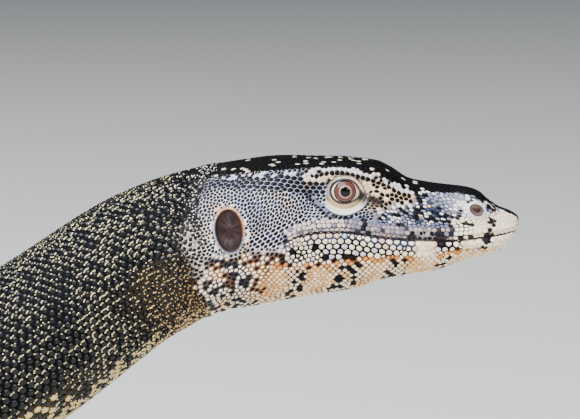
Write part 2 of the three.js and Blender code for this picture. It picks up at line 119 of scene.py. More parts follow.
jowl = track((0, 0.4), (10, 0.6), (50, 0.9), (85, 0.7), (120, 0.3), (240, 0.15), (380, 0.6),
             (560, 0.5), (640, 0))
height = track(
    (0, HEAD_HEIGHT), (90, HEAD_HEIGHT), (113, 132), (130, 126.4), (146, 119.5), (165, 108.2),
    (188, 94.1), (210, 81.7), (235, 71.5), (260, 65), (300, 57.8), (340, 52), (380, 47.5),
    (420, 45.5), (480, 44.5), (560, 39.5), (600, 34.5), (640, 30), (700, 25.7), (1000, 15.8),
    (1400, 5.9), (LENGTH, 0.7),
)
swing = track(
    (0, 0), (190, 0), (280, 7), (400, 3), (520, -9), (640, -22), (760, -24), (900, 0), (1040, 28),
    (1200, 34), (1350, 12), (LENGTH, -12),
)

SMOOTHING = 9
SPAN = 3
TURNS = 16
BELLY_TURN = TURNS / 2
MIDLINE_GAP = 0.05


def walk_spine():
    """The spine's points a millimetre apart: each step falls as the smoothed height does and runs
    level for the rest, swung to the animal's left by the swing in degrees."""
    stations = np.arange(LENGTH + 1.0)
    heights = height(stations)
    window = np.full(2 * SMOOTHING + 1, 1 / (2 * SMOOTHING + 1))
    for _ in range(2):
        heights = np.convolve(np.pad(heights, SMOOTHING, mode="edge"), window, "valid")
    fall = np.diff(heights)
    along = np.sqrt(1 - fall**2)
    turn = np.radians(swing(stations[1:] - 0.5))
    steps = np.stack([-np.cos(turn) * along, np.sin(turn) * along, fall], axis=1)
    points = np.vstack([[0, 0, heights[0]], [0, 0, heights[0]] + np.cumsum(steps, axis=0)])
    return points - points[BELLY_STATION] * (1, 1, 0)


spine = walk_spine()


def spine_point(s):
    stations = np.arange(LENGTH + 1.0)
    return np.stack([np.interp(s, stations, spine[:, axis]) for axis in range(3)], axis=-1)


def spine_frame(s):
    """The spine's point at a station, with the directions back along it, left and up from it."""
    back = unit(spine_point(s + SPAN) - spine_point(s - SPAN))
    left = unit(np.stack([back[..., 1], -back[..., 0], np.zeros_like(back[..., 0])], axis=-1))
    return spine_point(s), back, left, np.cross(left, back)


EYE = {"station": 65.1, "out": 12.1, "rise": 13.3, "radius": 6.4}
LIDS = {"out": 11.2, "long": 10.6, "thick": 8, "tall": 8.4}
LID_BLEND = 1.6


def relief(s, z):
    """Swellings and hollows of the head's and neck's sides: bells at a station and height."""
    lip_span = 1 / (1 + np.exp((s - 84) / 2))
    from_mouth = z - level(s)
    brow_ridge = 1.3 * bell((s - 61) / 17, (z - mix(top(s), level(s), 0.17)) / 2.6)
    jaw_muscle = 2.2 * bell((s - 91) / 11, (z - 5) / 8)
    nostril_swelling = 1.3 * bell((s - 16.5) / 5, (z - 5.5) / 4)
    lips = 0.5 * (bell((from_mouth - 2.2) / 1.4) + bell((from_mouth + 2.4) / 1.4)) * lip_span
    mouth_groove = -0.9 * bell(from_mouth / 0.6) * lip_span * np.clip(s / 4, 0, 1)
    ear_hollow = -0.8 * bell((s - 107) / 7, (z - 1) / 9)
    neck_fold = -1.6 * bell((s - 123 + 0.25 * z) / 3.5)
    return (brow_ridge + jaw_muscle + nostril_swelling + lips + mouth_groove + ear_hollow
            + neck_fold)


def half_section(s):
    """Nine points of the section at a station, from the midline of the back to that of the belly,
    as distances to the side and up."""
    up, down, mid, side = top(s), bottom(s), level(s), wide(s)
    brow = side * brow_share(s)
    brow_drop = (up - mid) * drop_share(s)
    orbit = side * orbit_share(s)
    square = jowl(s)
    sideways = [0 * s, 0.56 * brow, brow, orbit, mix(orbit, side, 0.76), side,
                side * (0.78 + 0.14 * square), side * (0.42 + 0.18 * square), 0 * s]
    upwards = [up, up - 0.25 * brow_drop, up - brow_drop, mix(mid, up - brow_drop, 0.55),
               mix(mid, up - brow_drop, 0.27), mid, mix(mid, down, 0.62 - 0.1 * square),
               mix(mid, down, 0.92), down]
    return np.stack([np.stack(sideways, axis=-1), np.stack(upwards, axis=-1)], axis=-1)


def section_point(s, u, lift=0.0):
    """A section's point and the way out from it, both as (left, up): a closed Catmull-Rom curve
    through the half section and its mirror image. The turn u runs from 0 at the midline of the
    back over 4 on the left side and 8 under the belly to 16. lift and the relief move it outwards,
    and the ball of the eye's lids swells it sideways."""
    half = half_section(s)
    whole = np.concatenate([half, half[:, 7:0:-1] * (-1, 1)], axis=1)
    i = np.floor(u).astype(int)
    t = (u - i)[:, None]
    rows = np.arange(len(s))
    a, b, c, d = (whole[rows, (i + k) % TURNS] for k in (-1, 0, 1, 2))
    bend, twist = 2 * a - 5 * b + 4 * c - d, 3 * (b - c) + d - a
    point = b + 0.5 * t * (c - a + t * (bend + t * twist))
    slope = c - a + t * (2 * bend + 3 * t * twist)
    out = unit(np.stack([-slope[:, 1], slope[:, 0]], axis=1), 1e-9)
    y, z = point.T
    share = np.clip(2 * np.abs(y) / (wide(s) + 0.01), 0, 1)
    moved = point + out * (lift + relief(s, z) * share)[:, None]
    y, z = moved.T
    within = (1 - ((s - EYE["station"]) / LIDS["long"]) ** 2
              - ((z - EYE["rise"]) / LIDS["tall"]) ** 2)
    lid = LIDS["out"] + lift + LIDS["thick"] * np.sqrt(np.clip(within, 0, 1))
    near = np.clip(1 - np.abs(lid - np.abs(y)) / LID_BLEND, 0, 1) * (within > 0)
    swollen = np.maximum(np.abs(y), np.where(within > 0, lid, 0)) + near**2 * LID_BLEND / 4
    return np.stack([np.where(y < 0, -swollen, swollen), z], axis=1), out


def trunk_point(s, u, lift=0.0):
    """A point on the trunk at station s and turn u, lifted off it by lift, above the floor."""
    s, u = np.broadcast_arrays(np.asarray(s, float), np.asarray(u, float))
    shape = s.shape
    s, u = s.ravel(), u.ravel()
    lifts = np.broadcast_to(lift, shape).ravel()
    (y, z), _ = (array.T for array in section_point(s, u, lifts))
    at, _, left, up = spine_frame(s)
    points = at + left * y[:, None] + up * z[:, None]
    points[:, 2] = np.maximum(points[:, 2], 0)
    return points.reshape(*shape, 3)


def turn_at(s, z):
    """The turn on the left side at which the section lies at height z, by halving the range."""
    low, high = np.full(len(s), MIDLINE_GAP), np.full(len(s), BELLY_TURN - MIDLINE_GAP)
    for _ in range(20):
        middle = (low + high) / 2
        above = section_point(s, middle)[0][:, 1] > z
        low, high = np.where(above, middle, low), np.where(above, high, middle)
    return (low + high) / 2


def grid_faces(rows, columns, first=0):
    """Four-sided faces of a grid that closes on itself along its columns."""
    row, column = np.meshgrid(np.arange(rows - 1), np.arange(columns), indexing="ij")
    following = (column + 1) % columns
    corners = [row * columns + column, row * columns + following,
               (row + 1) * columns + following, (row + 1) * columns + column]
    return first + np.stack(corners, axis=-1).reshape(-1, 4)


def pole_faces(pole, ring, onward=False):
    """Three-sided faces between one point and a ring of points, wound back along the ring or
    onward along it."""
    pair = (ring, np.roll(ring, -1)) if onward else (np.roll(ring, -1), ring)
    return np.stack([np.full(len(ring), pole), *pair], axis=1)


def add_object(name, data):
    made = bpy.data.objects.new(name, data)
    bpy.context.scene.collection.objects.link(made)
    return made


def make_mesh(name, points, face_groups):
    """An object from points in millimetres and arrays of faces of equal sides."""
    mesh = bpy.data.meshes.new(name)
    mesh.vertices.add(len(points))
    mesh.vertices.foreach_set("co", (points * METRES).astype(np.float32).ravel())
    counts = np.concatenate([np.full(len(faces), faces.shape[1]) for faces in face_groups])
    corners = np.concatenate([faces.ravel() for faces in face_groups])
    mesh.loops.add(len(corners))
    mesh.loops.foreach_set("vertex_index", corners.astype(np.int32))
    mesh.polygons.add(len(counts))
    starts = np.concatenate([[0], np.cumsum(counts)[:-1]])
    mesh.polygons.foreach_set("loop_start", starts.astype(np.int32))
    mesh.polygons.foreach_set("loop_total", counts.astype(np.int32))
    mesh.polygons.foreach_set("use_smooth", np.ones(len(counts), bool))
    mesh.update(calc_edges=True)
    mesh.validate()
    return add_object(name, mesh)


def smooth_step(value, start, end):
    share = np.clip((value - start) / (end - start), 0, 1)
    return share * share * (3 - 2 * share)


EYE_HOLE = {"station": 65.0, "rise": 13.3, "long": 5.0, "tall": 4.3, "tilt": 0.0, "corner": 0.9}
NOSTRIL_HOLE = {"station": 16.3, "rise": 5.9, "long": 2.7, "tall": 1.9, "tilt": -0.5}
EAR_HOLE = {"station": 106.8, "rise": 1.4, "long": 4.9, "tall": 7.7, "tilt": -0.05}


def lid_extent(around):
    """How far the bare lid reaches from the opening: a narrow band above, a broad one below."""
    low = smooth_step(0.25 * np.cos(around) - np.sin(around), -0.1, 0.7)
    front = bell((np.cos(around) - 1) * 2.4)
    return 2.0 + 2.45 * low + 0.8 * front * (1 - low)


def hole_distance(hole, s, z):
    """Roughly how far a place on the head's side lies outside an opening's edge."""
    ds, dz = s - hole["station"], z - hole["rise"]
    cos, sin = np.cos(hole["tilt"]), np.sin(hole["tilt"])
    along, aside = ds * cos - dz * sin, ds * sin + dz * cos
    ratio = np.sqrt((along / hole["long"]) ** 2 + (aside / hole["tall"]) ** 2)
    return np.hypot(ds, dz) * (1 - 1 / np.maximum(ratio, 0.05))


def lid_distance(s, z):
    """How far outside the bare eyelids a place lies."""
    around = np.arctan2((z - EYE_HOLE["rise"]) / EYE_HOLE["tall"],
                        (EYE_HOLE["station"] - s) / EYE_HOLE["long"])
    return hole_distance(EYE_HOLE, s, z) - lid_extent(around)


PITS = {"eye": 7.0, "nostril": 3.6, "ear": 4.0}


def sink(points, s, u):
    """The trunk's points pressed sideways into the sockets of the eyes, the nostrils and the ears,
    where lids, rims and eardrums take the hide's place."""
    y, z = section_point(s, u)[0].T
    depth = PITS["eye"] * smooth_step(-lid_distance(s, z), 0.3, 1.1)
    depth += PITS["nostril"] * smooth_step(1.0 - hole_distance(NOSTRIL_HOLE, s, z), 0, 0.5)
    depth += PITS["ear"] * smooth_step(0.85 - hole_distance(EAR_HOLE, s, z), 0, 0.5)
    left = spine_frame(s)[2]
    return points - left * (np.sign(y) * np.where(s < NECK_START, depth, 0))[:, None]


scale_depth = track((0, 0.25), (100, 0.35), (125, 0.6), (240, 0.7), (640, 0.6), (LENGTH, 0.15))
HIDE_BANDS = [
    (1, 118, 0.62, 160),
    (119.4, 205, 1.4, 128),
    (208, 640, 3.2, 96),
    (644, 1000, 4.5, 64),
    (1006, 1551, 6, 32),
]


def trunk_grid():
    """The trunk's hide: rings in bands of ever fewer points, each band joined to the next by a row
    of three-sided faces from every point to its nearest on the other ring, with a point at each
    end. Every point keeps its station and turn."""
    stations, turns, faces = [np.zeros(1)], [np.zeros(1)], []
    first, last_ring = 1, None
    for start, end, spacing, count in HIDE_BANDS:
        rows = int(round((end - start) / spacing)) + 1
        row, column = np.meshgrid(np.linspace(start, end, rows),
                                  np.arange(count) * TURNS / count, indexing="ij")
        stations.append(row.ravel())
        turns.append(column.ravel())
        ring = first + np.arange(count)
        if last_ring is None:
            faces.append(pole_faces(0, ring))
        else:
            faces.append(stitch(last_ring, ring))
        faces.append(grid_faces(rows, count, first))
        first += rows * count
        last_ring = first - count + np.arange(count)
    stations.append(np.full(1, LENGTH))
    turns.append(np.zeros(1))
    faces.append(pole_faces(first, last_ring, onward=True))
    return np.concatenate(stations), np.concatenate(turns), faces


def stitch(fine, coarse):
    """Three-sided faces between two rings that start at the same turn: a face for each step of the
    finer ring and one for each step of the coarser."""
    share = np.arange(len(fine)) * len(coarse) / len(fine)
    nearest = np.round(share).astype(int)
    following = np.round(share + len(coarse) / len(fine)).astype(int)
    over = np.stack([fine, np.roll(fine, -1), coarse[nearest % len(coarse)]], axis=1)
    steps = np.flatnonzero(following > nearest)
    under = np.stack([np.roll(fine, -1)[steps], coarse[following[steps] % len(coarse)],
                      coarse[nearest[steps] % len(coarse)]], axis=1)
    return np.concatenate([over, under])


trunk_s, trunk_u, trunk_faces = trunk_grid()
trunk_points = sink(trunk_point(trunk_s, trunk_u, -scale_depth(trunk_s)), trunk_s, trunk_u)

# Hide of the limbs. Each limb is an upper and a lower bone in muscle, a palm or sole and five
# digits, all one skin with the trunk: where two forms near each other, both swell into a fillet.
FORELEG = {
    "station": 255,
    "upper": {"thick": track((0, 19), (0.4, 16), (1, 11.5)),
              "broad": track((0, 22), (0.4, 17), (1, 12.5))},
    "lower": {"thick": track((0, 11.5), (0.3, 12.2), (0.8, 8.2), (1, 7.8)),
              "broad": track((0, 12), (0.3, 13.2), (0.8, 9.2), (1, 9.4))},
    "names": ("upper_arm", "forearm", "hand"),
    "sole": {"long": 23, "thick": track((0, 7.4), (0.6, 6.6), (1, 5.2)),
             "broad": track((0, 9), (0.6, 12.6), (1, 12.6))},
    "digits": [(12, -8.6, -44, 19), (17, -6, -20, 25), (19, -0.6, 1, 28), (18, 5, 22, 26),
               (12, 8.4, 55, 20)],
    "digit_radius": 4.1,
    "claw_length": 12.5,
    "fillet": 14,
}
HINDLEG = {
    "station": 560,
    "upper": {"thick": track((0, 25), (0.45, 20), (1, 13.5)),
              "broad": track((0, 29), (0.45, 23), (1, 14.5))},
    "lower": {"thick": track((0, 13.5), (0.3, 14.4), (0.8, 9.2), (1, 8.4)),
              "broad": track((0, 14), (0.3, 15.6), (0.8, 10.2), (1, 10))},
    "names": ("thigh", "shin", "foot"),
    "sole": {"long": 37, "thick": track((0, 8), (0.6, 6.8), (1, 5.4)),
             "broad": track((0, 10), (0.6, 13.6), (1, 13))},
    "digits": [(24, -9, -28, 21), (30, -6.6, -13, 31), (33, -1.4, 0, 40), (32, 4.6, 13, 48),
               (13, 9.6, 46, 30)],
    "digit_radius": 4.4,
    "claw_length": 14,
    "fillet": 18,
}
LEGS = [
    ("right", -1, FORELEG, [(4, 22, 56), (-26, 88, 60), (8, 97, 12)], 22),
    ("left", 1, FORELEG, [(2, 22, 56), (-42, 83, 57), (-15, 100, 12)], 28),
    ("right", -1, HINDLEG, [(-4, 20, 42), (48, 88, 48), (2, 108, 13)], 33),
    ("left", 1, HINDLEG, [(-4, 20, 42), (64, 76, 48), (26, 106, 13)], 27),
]
digit_girth = track((0, 1.1), (0.2, 0.96), (0.4, 1.04), (0.62, 0.84), (0.84, 0.92), (1, 0.74))
digit_rise = track((0, 5.4), (0.36, 6.4), (0.66, 4.4), (0.84, 3.4), (1, 3.1))
sole_rise = track((0, 9), (0.5, 6.2), (1, 4.8))
UP = np.array([0, 0, 1.0])
CAP_SHARE = 0.16
KNEE_FILLET = 9
ANKLE_FILLET = 7
KNUCKLE_FILLET = 4.5
WEB_FILLET = 3
SWELLING_REACH = 110
SOLE_ENDS = (7, 4)
DIGIT_ENDS = (4, 2.2)
LIMB_DEPTH = 0.4
DIGIT_DEPTH = 0.3


def stretch(root, along, reach, up, rise, thick, broad, ends, depth):
    """A length of limb about a straight line: oval sections, thick along up and broad across, whose
    middles rise off the line, and a rounded end of given length at either end."""
    return {"root": root, "along": along, "reach": reach, "up": up, "across": np.cross(along, up),
            "rise": rise, "thick": thick, "broad": broad, "ends": ends, "depth": depth,
            "near": [], "fillets": []}


def bare_point(part, v, angle):
    """A stretch's point: v runs from the start's pole to the end's pole, with a quarter turn of
    rounding over each cap's share, and angle runs round it from its uppermost line."""
    start = np.clip(1 - v / CAP_SHARE, 0, 1)
    end = np.clip(1 - (1 - v) / CAP_SHARE, 0, 1)
    share = np.clip((v - CAP_SHARE) / (1 - 2 * CAP_SHARE), 0, 1)
    quarter = (start + end) * np.pi / 2
    past = np.sin(quarter) * np.where(start > 0, -part["ends"][0], part["ends"][1])
    shrink = np.cos(quarter)
    ahead = share * part["reach"] + past
    high = part["rise"](share) + part["thick"](share) * shrink * np.cos(angle)
    aside = part["broad"](share) * shrink * np.sin(angle)
    return (part["root"] + ahead[:, None] * part["along"] + high[:, None] * part["up"]
            + aside[:, None] * part["across"])


def stretch_distance(part, points):
    """How far points are outside a stretch, along the line from its middle; inside is negative."""
    offset = points - part["root"]
    ahead = offset @ part["along"]
    share = np.clip(ahead / part["reach"], 0, 1)
    excess = ahead - share * part["reach"]
    high = offset @ part["up"] - part["rise"](share)
    aside = offset @ part["across"]
    cap = np.where(excess < 0, part["ends"][0], part["ends"][1])
    ratio = np.sqrt((high / part["thick"](share)) ** 2 + (aside / part["broad"](share)) ** 2
                    + (excess / cap) ** 2)
    size = np.sqrt(high**2 + aside**2 + excess**2)
    return size - size / np.maximum(ratio, 0.02)


TORSO_STEP = 6.0
TORSO_SIDES = 144
TORSO_STATIONS = np.arange(196, 760, TORSO_STEP)
TORSO_ANGLES = np.linspace(-np.pi, np.pi, TORSO_SIDES + 1)


def torso_radii():
    """The torso's reach from its section's middle, for each station and each angle from upright."""
    turns = np.arange(0, TURNS, 1 / 16)
    s, u = np.meshgrid(TORSO_STATIONS, turns, indexing="ij")
    outline = section_point(s.ravel(), u.ravel())[0].reshape(*s.shape, 2)
    middle = (top(TORSO_STATIONS) + bottom(TORSO_STATIONS)) / 2
    y, z = outline[..., 0], outline[..., 1] - middle[:, None]
    rows = [np.interp(TORSO_ANGLES, np.sort(angle), size[np.argsort(angle)], period=2 * np.pi)
            for angle, size in zip(np.arctan2(y, z), np.hypot(y, z))]
    return np.array(rows)


reach_table = torso_radii()


def torso_distance(points):
    """How far points are outside the torso, measured in the section at their nearest station."""
    nearest = np.argmin(
        np.linalg.norm(points[:, None] - spine_point(TORSO_STATIONS), axis=2), axis=1)
    s = TORSO_STATIONS[nearest]
    at, back, _, _ = spine_frame(s)
    s = s + np.sum((points - at) * back, axis=1)
    at, _, left, up = spine_frame(s)
    y = np.sum((points - at) * left, axis=1)
    z = np.sum((points - at) * up, axis=1) - (top(s) + bottom(s)) / 2
    row = np.clip((s - TORSO_STATIONS[0]) / TORSO_STEP, 0, len(TORSO_STATIONS) - 1.001)
    column = (np.arctan2(y, z) + np.pi) / (2 * np.pi) * TORSO_SIDES
    i = np.floor(row).astype(int)
    j = np.clip(np.floor(column).astype(int), 0, TORSO_SIDES - 1)
    over = mix(reach_table[i, j], reach_table[i, j + 1], column - j)
    under = mix(reach_table[i + 1, j], reach_table[i + 1, j + 1], column - j)
    return np.hypot(y, z) - mix(over, under, row - i)


def fillet(distance, width):
    """The swelling that rounds the corner where two forms meet, a parabola over the width."""
    return np.clip(1 - np.abs(distance) / width, 0, 1) ** 2 * width / 4


def limb_point(part, v, angle, lift=0.0):
    """A point on a limb's hide: on the bare stretch, moved out by the lift and by the fillets to
    its neighbours and the torso, and not below the floor."""
    bare = bare_point(part, v, angle)
    step = 1e-3
    ahead = bare_point(part, np.clip(v + step, 0, 1), angle) - bare_point(
        part, np.clip(v - step, 0, 1), angle)
    round_it = bare_point(part, v, angle + 0.01) - bare_point(part, v, angle - 0.01)
    out = np.cross(round_it, ahead)
    size = np.linalg.norm(out, axis=1, keepdims=True)
    poles = np.where(v[:, None] < 0.5, -part["along"], part["along"])
    out = np.where(size > 1e-6, out / np.maximum(size, 1e-9), poles)
    swelling = sum(fillet(stretch_distance(other, bare), width)
                   for other, width in zip(part["near"], part["fillets"]))
    if part["torso"]:
        swelling = swelling + fillet(torso_distance(bare), part["torso"])
    points = bare + out * (swelling + lift)[:, None]
    points[:, 2] = np.maximum(points[:, 2], 0)
    return points


def turned(direction, degrees):
    """A level direction turned about the upright."""
    turn = np.radians(degrees)
    x, y, z = direction
    return np.array([x * np.cos(turn) - y * np.sin(turn), x * np.sin(turn) + y * np.cos(turn), z])


def flat(s):
    return 0 * s


def build_limb(side, kind, joints, turn):
    """A limb's eight stretches from its joints, which lie ahead of, outward from and above the
    floor under its station, and the roots and headings of its claws."""
    at, back, left, _ = (v[0] for v in spine_frame(np.array([float(kind["station"])])))
    forward = unit(-back * (1, 1, 0))
    root, knee, ankle = (at * (1, 1, 0) + forward * ahead + left * side * out + UP * rise
                         for ahead, out, rise in joints)
    toes = turned(forward, side * turn)
    across = turned(left * side, side * turn)

    def bone(start, end, size):
        along = unit(end - start)
        up = unit(UP - along * (UP @ along))
        ends = (size["thick"](0), size["thick"](1))
        return stretch(start, along, np.linalg.norm(end - start), up, flat, size["thick"],
                       size["broad"], ends, LIMB_DEPTH)

    upper = bone(root, knee, kind["upper"])
    lower = bone(knee, ankle, kind["lower"])
    sole_start = ankle * (1, 1, 0)
    sole = stretch(sole_start, toes, kind["sole"]["long"], UP, sole_rise, kind["sole"]["thick"],
                   kind["sole"]["broad"], SOLE_ENDS, LIMB_DEPTH)
    radius = kind["digit_radius"]

    def girth(share):
        return radius * digit_girth(share)

    digits, claws = [], []
    for lead, aside, spread, long in kind["digits"]:
        heading = turned(toes, side * spread)
        knuckle = sole_start + toes * lead + across * aside
        digits.append(stretch(knuckle, heading, long, UP, digit_rise, girth, girth, DIGIT_ENDS,
                              DIGIT_DEPTH))
        claws.append((knuckle + heading * long, heading))
    for first, second, width in ([(upper, lower, KNEE_FILLET), (lower, sole, ANKLE_FILLET)]
                                 + [(sole, digit, KNUCKLE_FILLET) for digit in digits]
                                 + [(a, b, WEB_FILLET) for a, b in zip(digits, digits[1:])]):
        first["near"].append(second)
        first["fillets"].append(width)
        second["near"].append(first)
        second["fillets"].append(width)
    for part in (upper, lower, sole, *digits):
        part["torso"] = kind["fillet"] if part is upper else 0
    return {"upper": upper, "lower": lower, "sole": sole, "digits": digits, "claws": claws}


limbs = [(name, side, kind, build_limb(side, kind, joints, turn))
         for name, side, kind, joints, turn in LEGS]
LIMB_GRIDS = {"upper": (44, 36), "lower": (40, 32), "sole": (24, 32), "digit": (30, 16)}


def limb_parts(limb):
    """A limb's stretches, each with the name of its form."""
    return ([("upper", limb["upper"]), ("lower", limb["lower"]), ("sole", limb["sole"])]
            + [("digit", digit) for digit in limb["digits"]])


def swell_trunk(points, stations):
    """The trunk's points moved away from the spine's line where a thigh or an upper arm is near."""
    moved = points.copy()
    for _, _, kind, limb in limbs:
        close = np.flatnonzero(np.abs(stations - kind["station"]) < SWELLING_REACH)
        if not len(close):
            continue
        at, _, _, _ = spine_frame(stations[close])
        out = unit(points[close] - at)
        swelling = fillet(stretch_distance(limb["upper"], points[close]), kind["fillet"])
        moved[close] += out * swelling[:, None]
    moved[:, 2] = np.maximum(moved[:, 2], 0)
    return moved


# Finish of the hide. The skin between the scales is matt and finely wrinkled, and carries the same
# markings as the scales: every point's tint is worked out from its station and height.
def colour(red, green, blue):
    """A colour as it looks on a screen, made linear."""
    shade = np.array([red, green, blue]) / 255
    return np.where(shade <= 0.04045, shade / 12.92, ((shade + 0.055) / 1.055) ** 2.4)


def set_inputs(node, **values):
    """Sets a node's inputs by their names, in which underscores stand for blanks."""
    for name, value in values.items():
        node.inputs[name.replace("_", " ")].default_value = value
    return node


def add_node(tree, kind, **values):
    return set_inputs(tree.nodes.new(f"ShaderNode{kind}"), **values)


def join(tree, *routes):
    """Links, each from a node and its output to a node and its input."""
    for source, output, target, entry in routes:
        tree.links.new(source.outputs[output], target.inputs[entry])


def micro_relief_group():
    """Fine wrinkles and a mottled shine: the bump's height is a fine noise, the mottle is a slow
    one, and the shine follows the slow one between two roughnesses."""
    group = bpy.data.node_groups.new("micro_relief", "ShaderNodeTree")
    for way, names in (("INPUT", ("Scale", "Smoothest", "Roughest")),
                       ("OUTPUT", ("Height", "Shine", "Mottle"))):
        for name in names:
            group.interface.new_socket(name, in_out=way, socket_type="NodeSocketFloat")
    values = group.nodes.new("NodeGroupInput")
    result = group.nodes.new("NodeGroupOutput")
    place = add_node(group, "TexCoord")
    grain = add_node(group, "TexNoise", Detail=3)
    slow = add_node(group, "TexNoise", Scale=90, Detail=4)
    shine = add_node(group, "MapRange", From_Min=0.35, From_Max=0.65)
    join(group, (place, "Object", grain, "Vector"), (place, "Object", slow, "Vector"),
         (values, "Scale", grain, "Scale"), (grain, "Fac", result, "Height"),
         (slow, "Fac", shine, "Value"), (values, "Smoothest", shine, "To Min"),
         (values, "Roughest", shine, "To Max"), (shine, "Result", result, "Shine"),
         (slow, "Fac", result, "Mottle"))
    return group


micro_relief = micro_relief_group()


def add_relief(tree, scale, smoothest, roughest):
    node = add_node(tree, "Group")
    node.node_tree = micro_relief
    return set_inputs(node, Scale=scale, Smoothest=smoothest, Roughest=roughest)


def new_material(name):
    """A material, its node tree and its shader."""
    made = bpy.data.materials.new(name)
    made.use_nodes = True
    return made, made.node_tree, made.node_tree.nodes["Principled BSDF"]


def tinted_material(name, scale, bump, smoothest, roughest, coat, specular=0.5):
    """A skin finish whose colour is the mesh's own tint, varied a little by the slow noise. The
    tint's fourth part is its gloss: at one the shine and coat are as given, at nought matt."""
    made, tree, shader = new_material(name)
    set_inputs(shader, Coat_Roughness=0.18, Specular_IOR_Level=specular)
    tint = add_node(tree, "Attribute")
    tint.attribute_name = "tint"
    relief_node = add_relief(tree, scale, smoothest, roughest)
    value = add_node(tree, "MapRange", To_Min=0.82, To_Max=1.16)
    varied = add_node(tree, "HueSaturation")
    bumped = add_node(tree, "Bump", Distance=bump, Strength=1)
    dulled = add_node(tree, "MapRange", To_Min=0.26, To_Max=0)
    roughness = add_node(tree, "Math")
    coated = add_node(tree, "Math")
    coated.operation = "MULTIPLY"
    coated.inputs[1].default_value = coat
    join(tree, (relief_node, "Mottle", value, "Value"), (value, "Result", varied, "Value"),
         (tint, "Color", varied, "Color"), (varied, "Color", shader, "Base Color"),
         (tint, "Alpha", dulled, "Value"), (relief_node, "Shine", roughness, 0),
         (dulled, "Result", roughness, 1), (roughness, "Value", shader, "Roughness"),
         (tint, "Alpha", coated, 0), (coated, "Value", shader, "Coat Weight"),
         (relief_node, "Height", bumped, "Height"), (bumped, "Normal", shader, "Normal"))
    return made


def set_tint(piece, tints):
    """Stores linear colours, one for each point, as the piece's tint, with their gloss."""
    layer = piece.data.color_attributes.new("tint", "FLOAT_COLOR", "POINT")
    if tints.shape[1] == 3:
        tints = np.column_stack([tints, np.ones(len(tints))])
    layer.data.foreach_set("color", tints.astype(np.float32).ravel())


# Markings. A near-black crown and back, a pale brow with a row of black squares, a black stripe
# behind the eye, slate and pinkish lips, a cream jaw barred with black, fine pale netting round the
# cheek's dark beads and yellow netting down the neck, then rows of yellow rings over the back.
crown_edge = track((0, 1.5), (2.6, 3.3), (9, 6.6), (14.3, 9.7), (21.4, 11.9), (30.3, 12.6),
                   (40.9, 13.5), (44.3, 15.1), (56.7, 20), (68, 22.5), (81, 21.9), (95, 21.4),
                   (106, 20.9), (118, 20))
square_row = track((40, 10.5), (44.3, 12.1), (49.1, 14.8), (55.1, 17.3), (61.6, 19.3),
                   (67.4, 20.4), (72, 20), (76, 18.9), (79, 17.5))
stripe_top = track((72, 17.5), (79.7, 19.4), (90, 19.3), (101, 19.4), (112, 20))
stripe_foot = track((69, 12), (79.7, 13), (90.3, 14.7), (101, 15.9), (112, 18))
throat_fold = track((0, -8), (9, -8.3), (19.6, -8.8), (33.8, -11.3), (51.6, -11.5), (66, -12.5),
                    (81.7, -13.4), (95, -12))
lid_fold = track((58, 2.4), (61.2, 1.9), (65.2, 2.2), (68.9, 2.9), (72, 6), (75.7, 9.1), (79, 12))
FAN_FALL = 0.46
FAN_AT = 80

SCALE_BLACK = colour(6, 7, 10)
SCALE_BLUE = colour(24, 29, 46)
CHEEK_BLACK = colour(8, 10, 18)
NET_PALE = colour(228, 222, 228)
NET_LILAC = colour(172, 176, 208)
NET_WARM = colour(234, 204, 170)
NET_DARK = colour(8, 7, 8)
NET_SLATE = colour(50, 56, 78)
SLATE = colour(112, 124, 156)
BONE = colour(250, 234, 206)
PEACH = colour(236, 200, 160)
PINK_GREY = colour(160, 144, 144)
STREAK_BROWN = colour(44, 30, 30)
RUST = colour(158, 100, 64)
SPOT_YELLOW = colour(206, 178, 92)
BELLY_YELLOW = colour(216, 192, 132)
BACK_BLACK = colour(8, 8, 9)


def inside(value, low, high, edge=0.35):
    """One between two limits and nought outside them, with a soft edge."""
    return smooth_step(value, low - edge, low + edge) * (
        1 - smooth_step(value, high - edge, high + edge))


def paint(tints, tint, share):
    return tints + (tint - tints) * np.clip(share, 0, 1)[:, None]


def own_bar(chance):
    """A bar between 0.15 and 0.85 for each scale, in no order with its chance."""
    return 0.15 + 0.7 * (chance * 7.31 % 1)


def lay(scales, tint, share, bar):
    """Gives the tint to the scales whose own bar the share passes, so that none is half painted."""
    return np.where((share > bar)[:, None], tint, scales)


class Markings:
    """The tints of scales and of the net of skin between them. Both begin in one tint and are
    painted region by region: a scale wholly, by its own bar, and the net by the region's share."""

    def __init__(self, chance, scale_tint, net_tint):
        self.bar = own_bar(chance)
        self.scales = np.tile(scale_tint, (len(chance), 1))
        self.net = np.tile(net_tint, (len(chance), 1))

    def lay(self, tint, share):
        self.scales = lay(self.scales, tint, share, self.bar)

    def paint(self, tint, share):
        self.net = paint(self.net, tint, share)


def wander(x, y, size):
    """A slow wavering between minus one and one, the mean of three crossing waves."""
    x, y = x / size, y / size
    return (np.sin(x + 1.7 * np.sin(0.6 * y)) + np.sin(0.8 * y + 1.3 * np.sin(0.7 * x + 1))
            + np.sin(0.6 * x - 0.9 * y + 2)) / 3


def fan(s, z):
    """One where the folds of skin fan back and down past the mouth's corner, nought elsewhere."""
    across = (z + FAN_FALL * (s - FAN_AT)) / np.hypot(1, FAN_FALL)
    return inside(across, -3.6, 6.2, 0.8) * inside(s, 71, 100, 2)


def neck_line(fold):
    """The station at which the head gives way to the neck: behind the crown, ear and throat."""
    return 109 + 7.5 * smooth_step(fold, 0.8, 2.6) + 9 * smooth_step(fold, 4.6, 6)


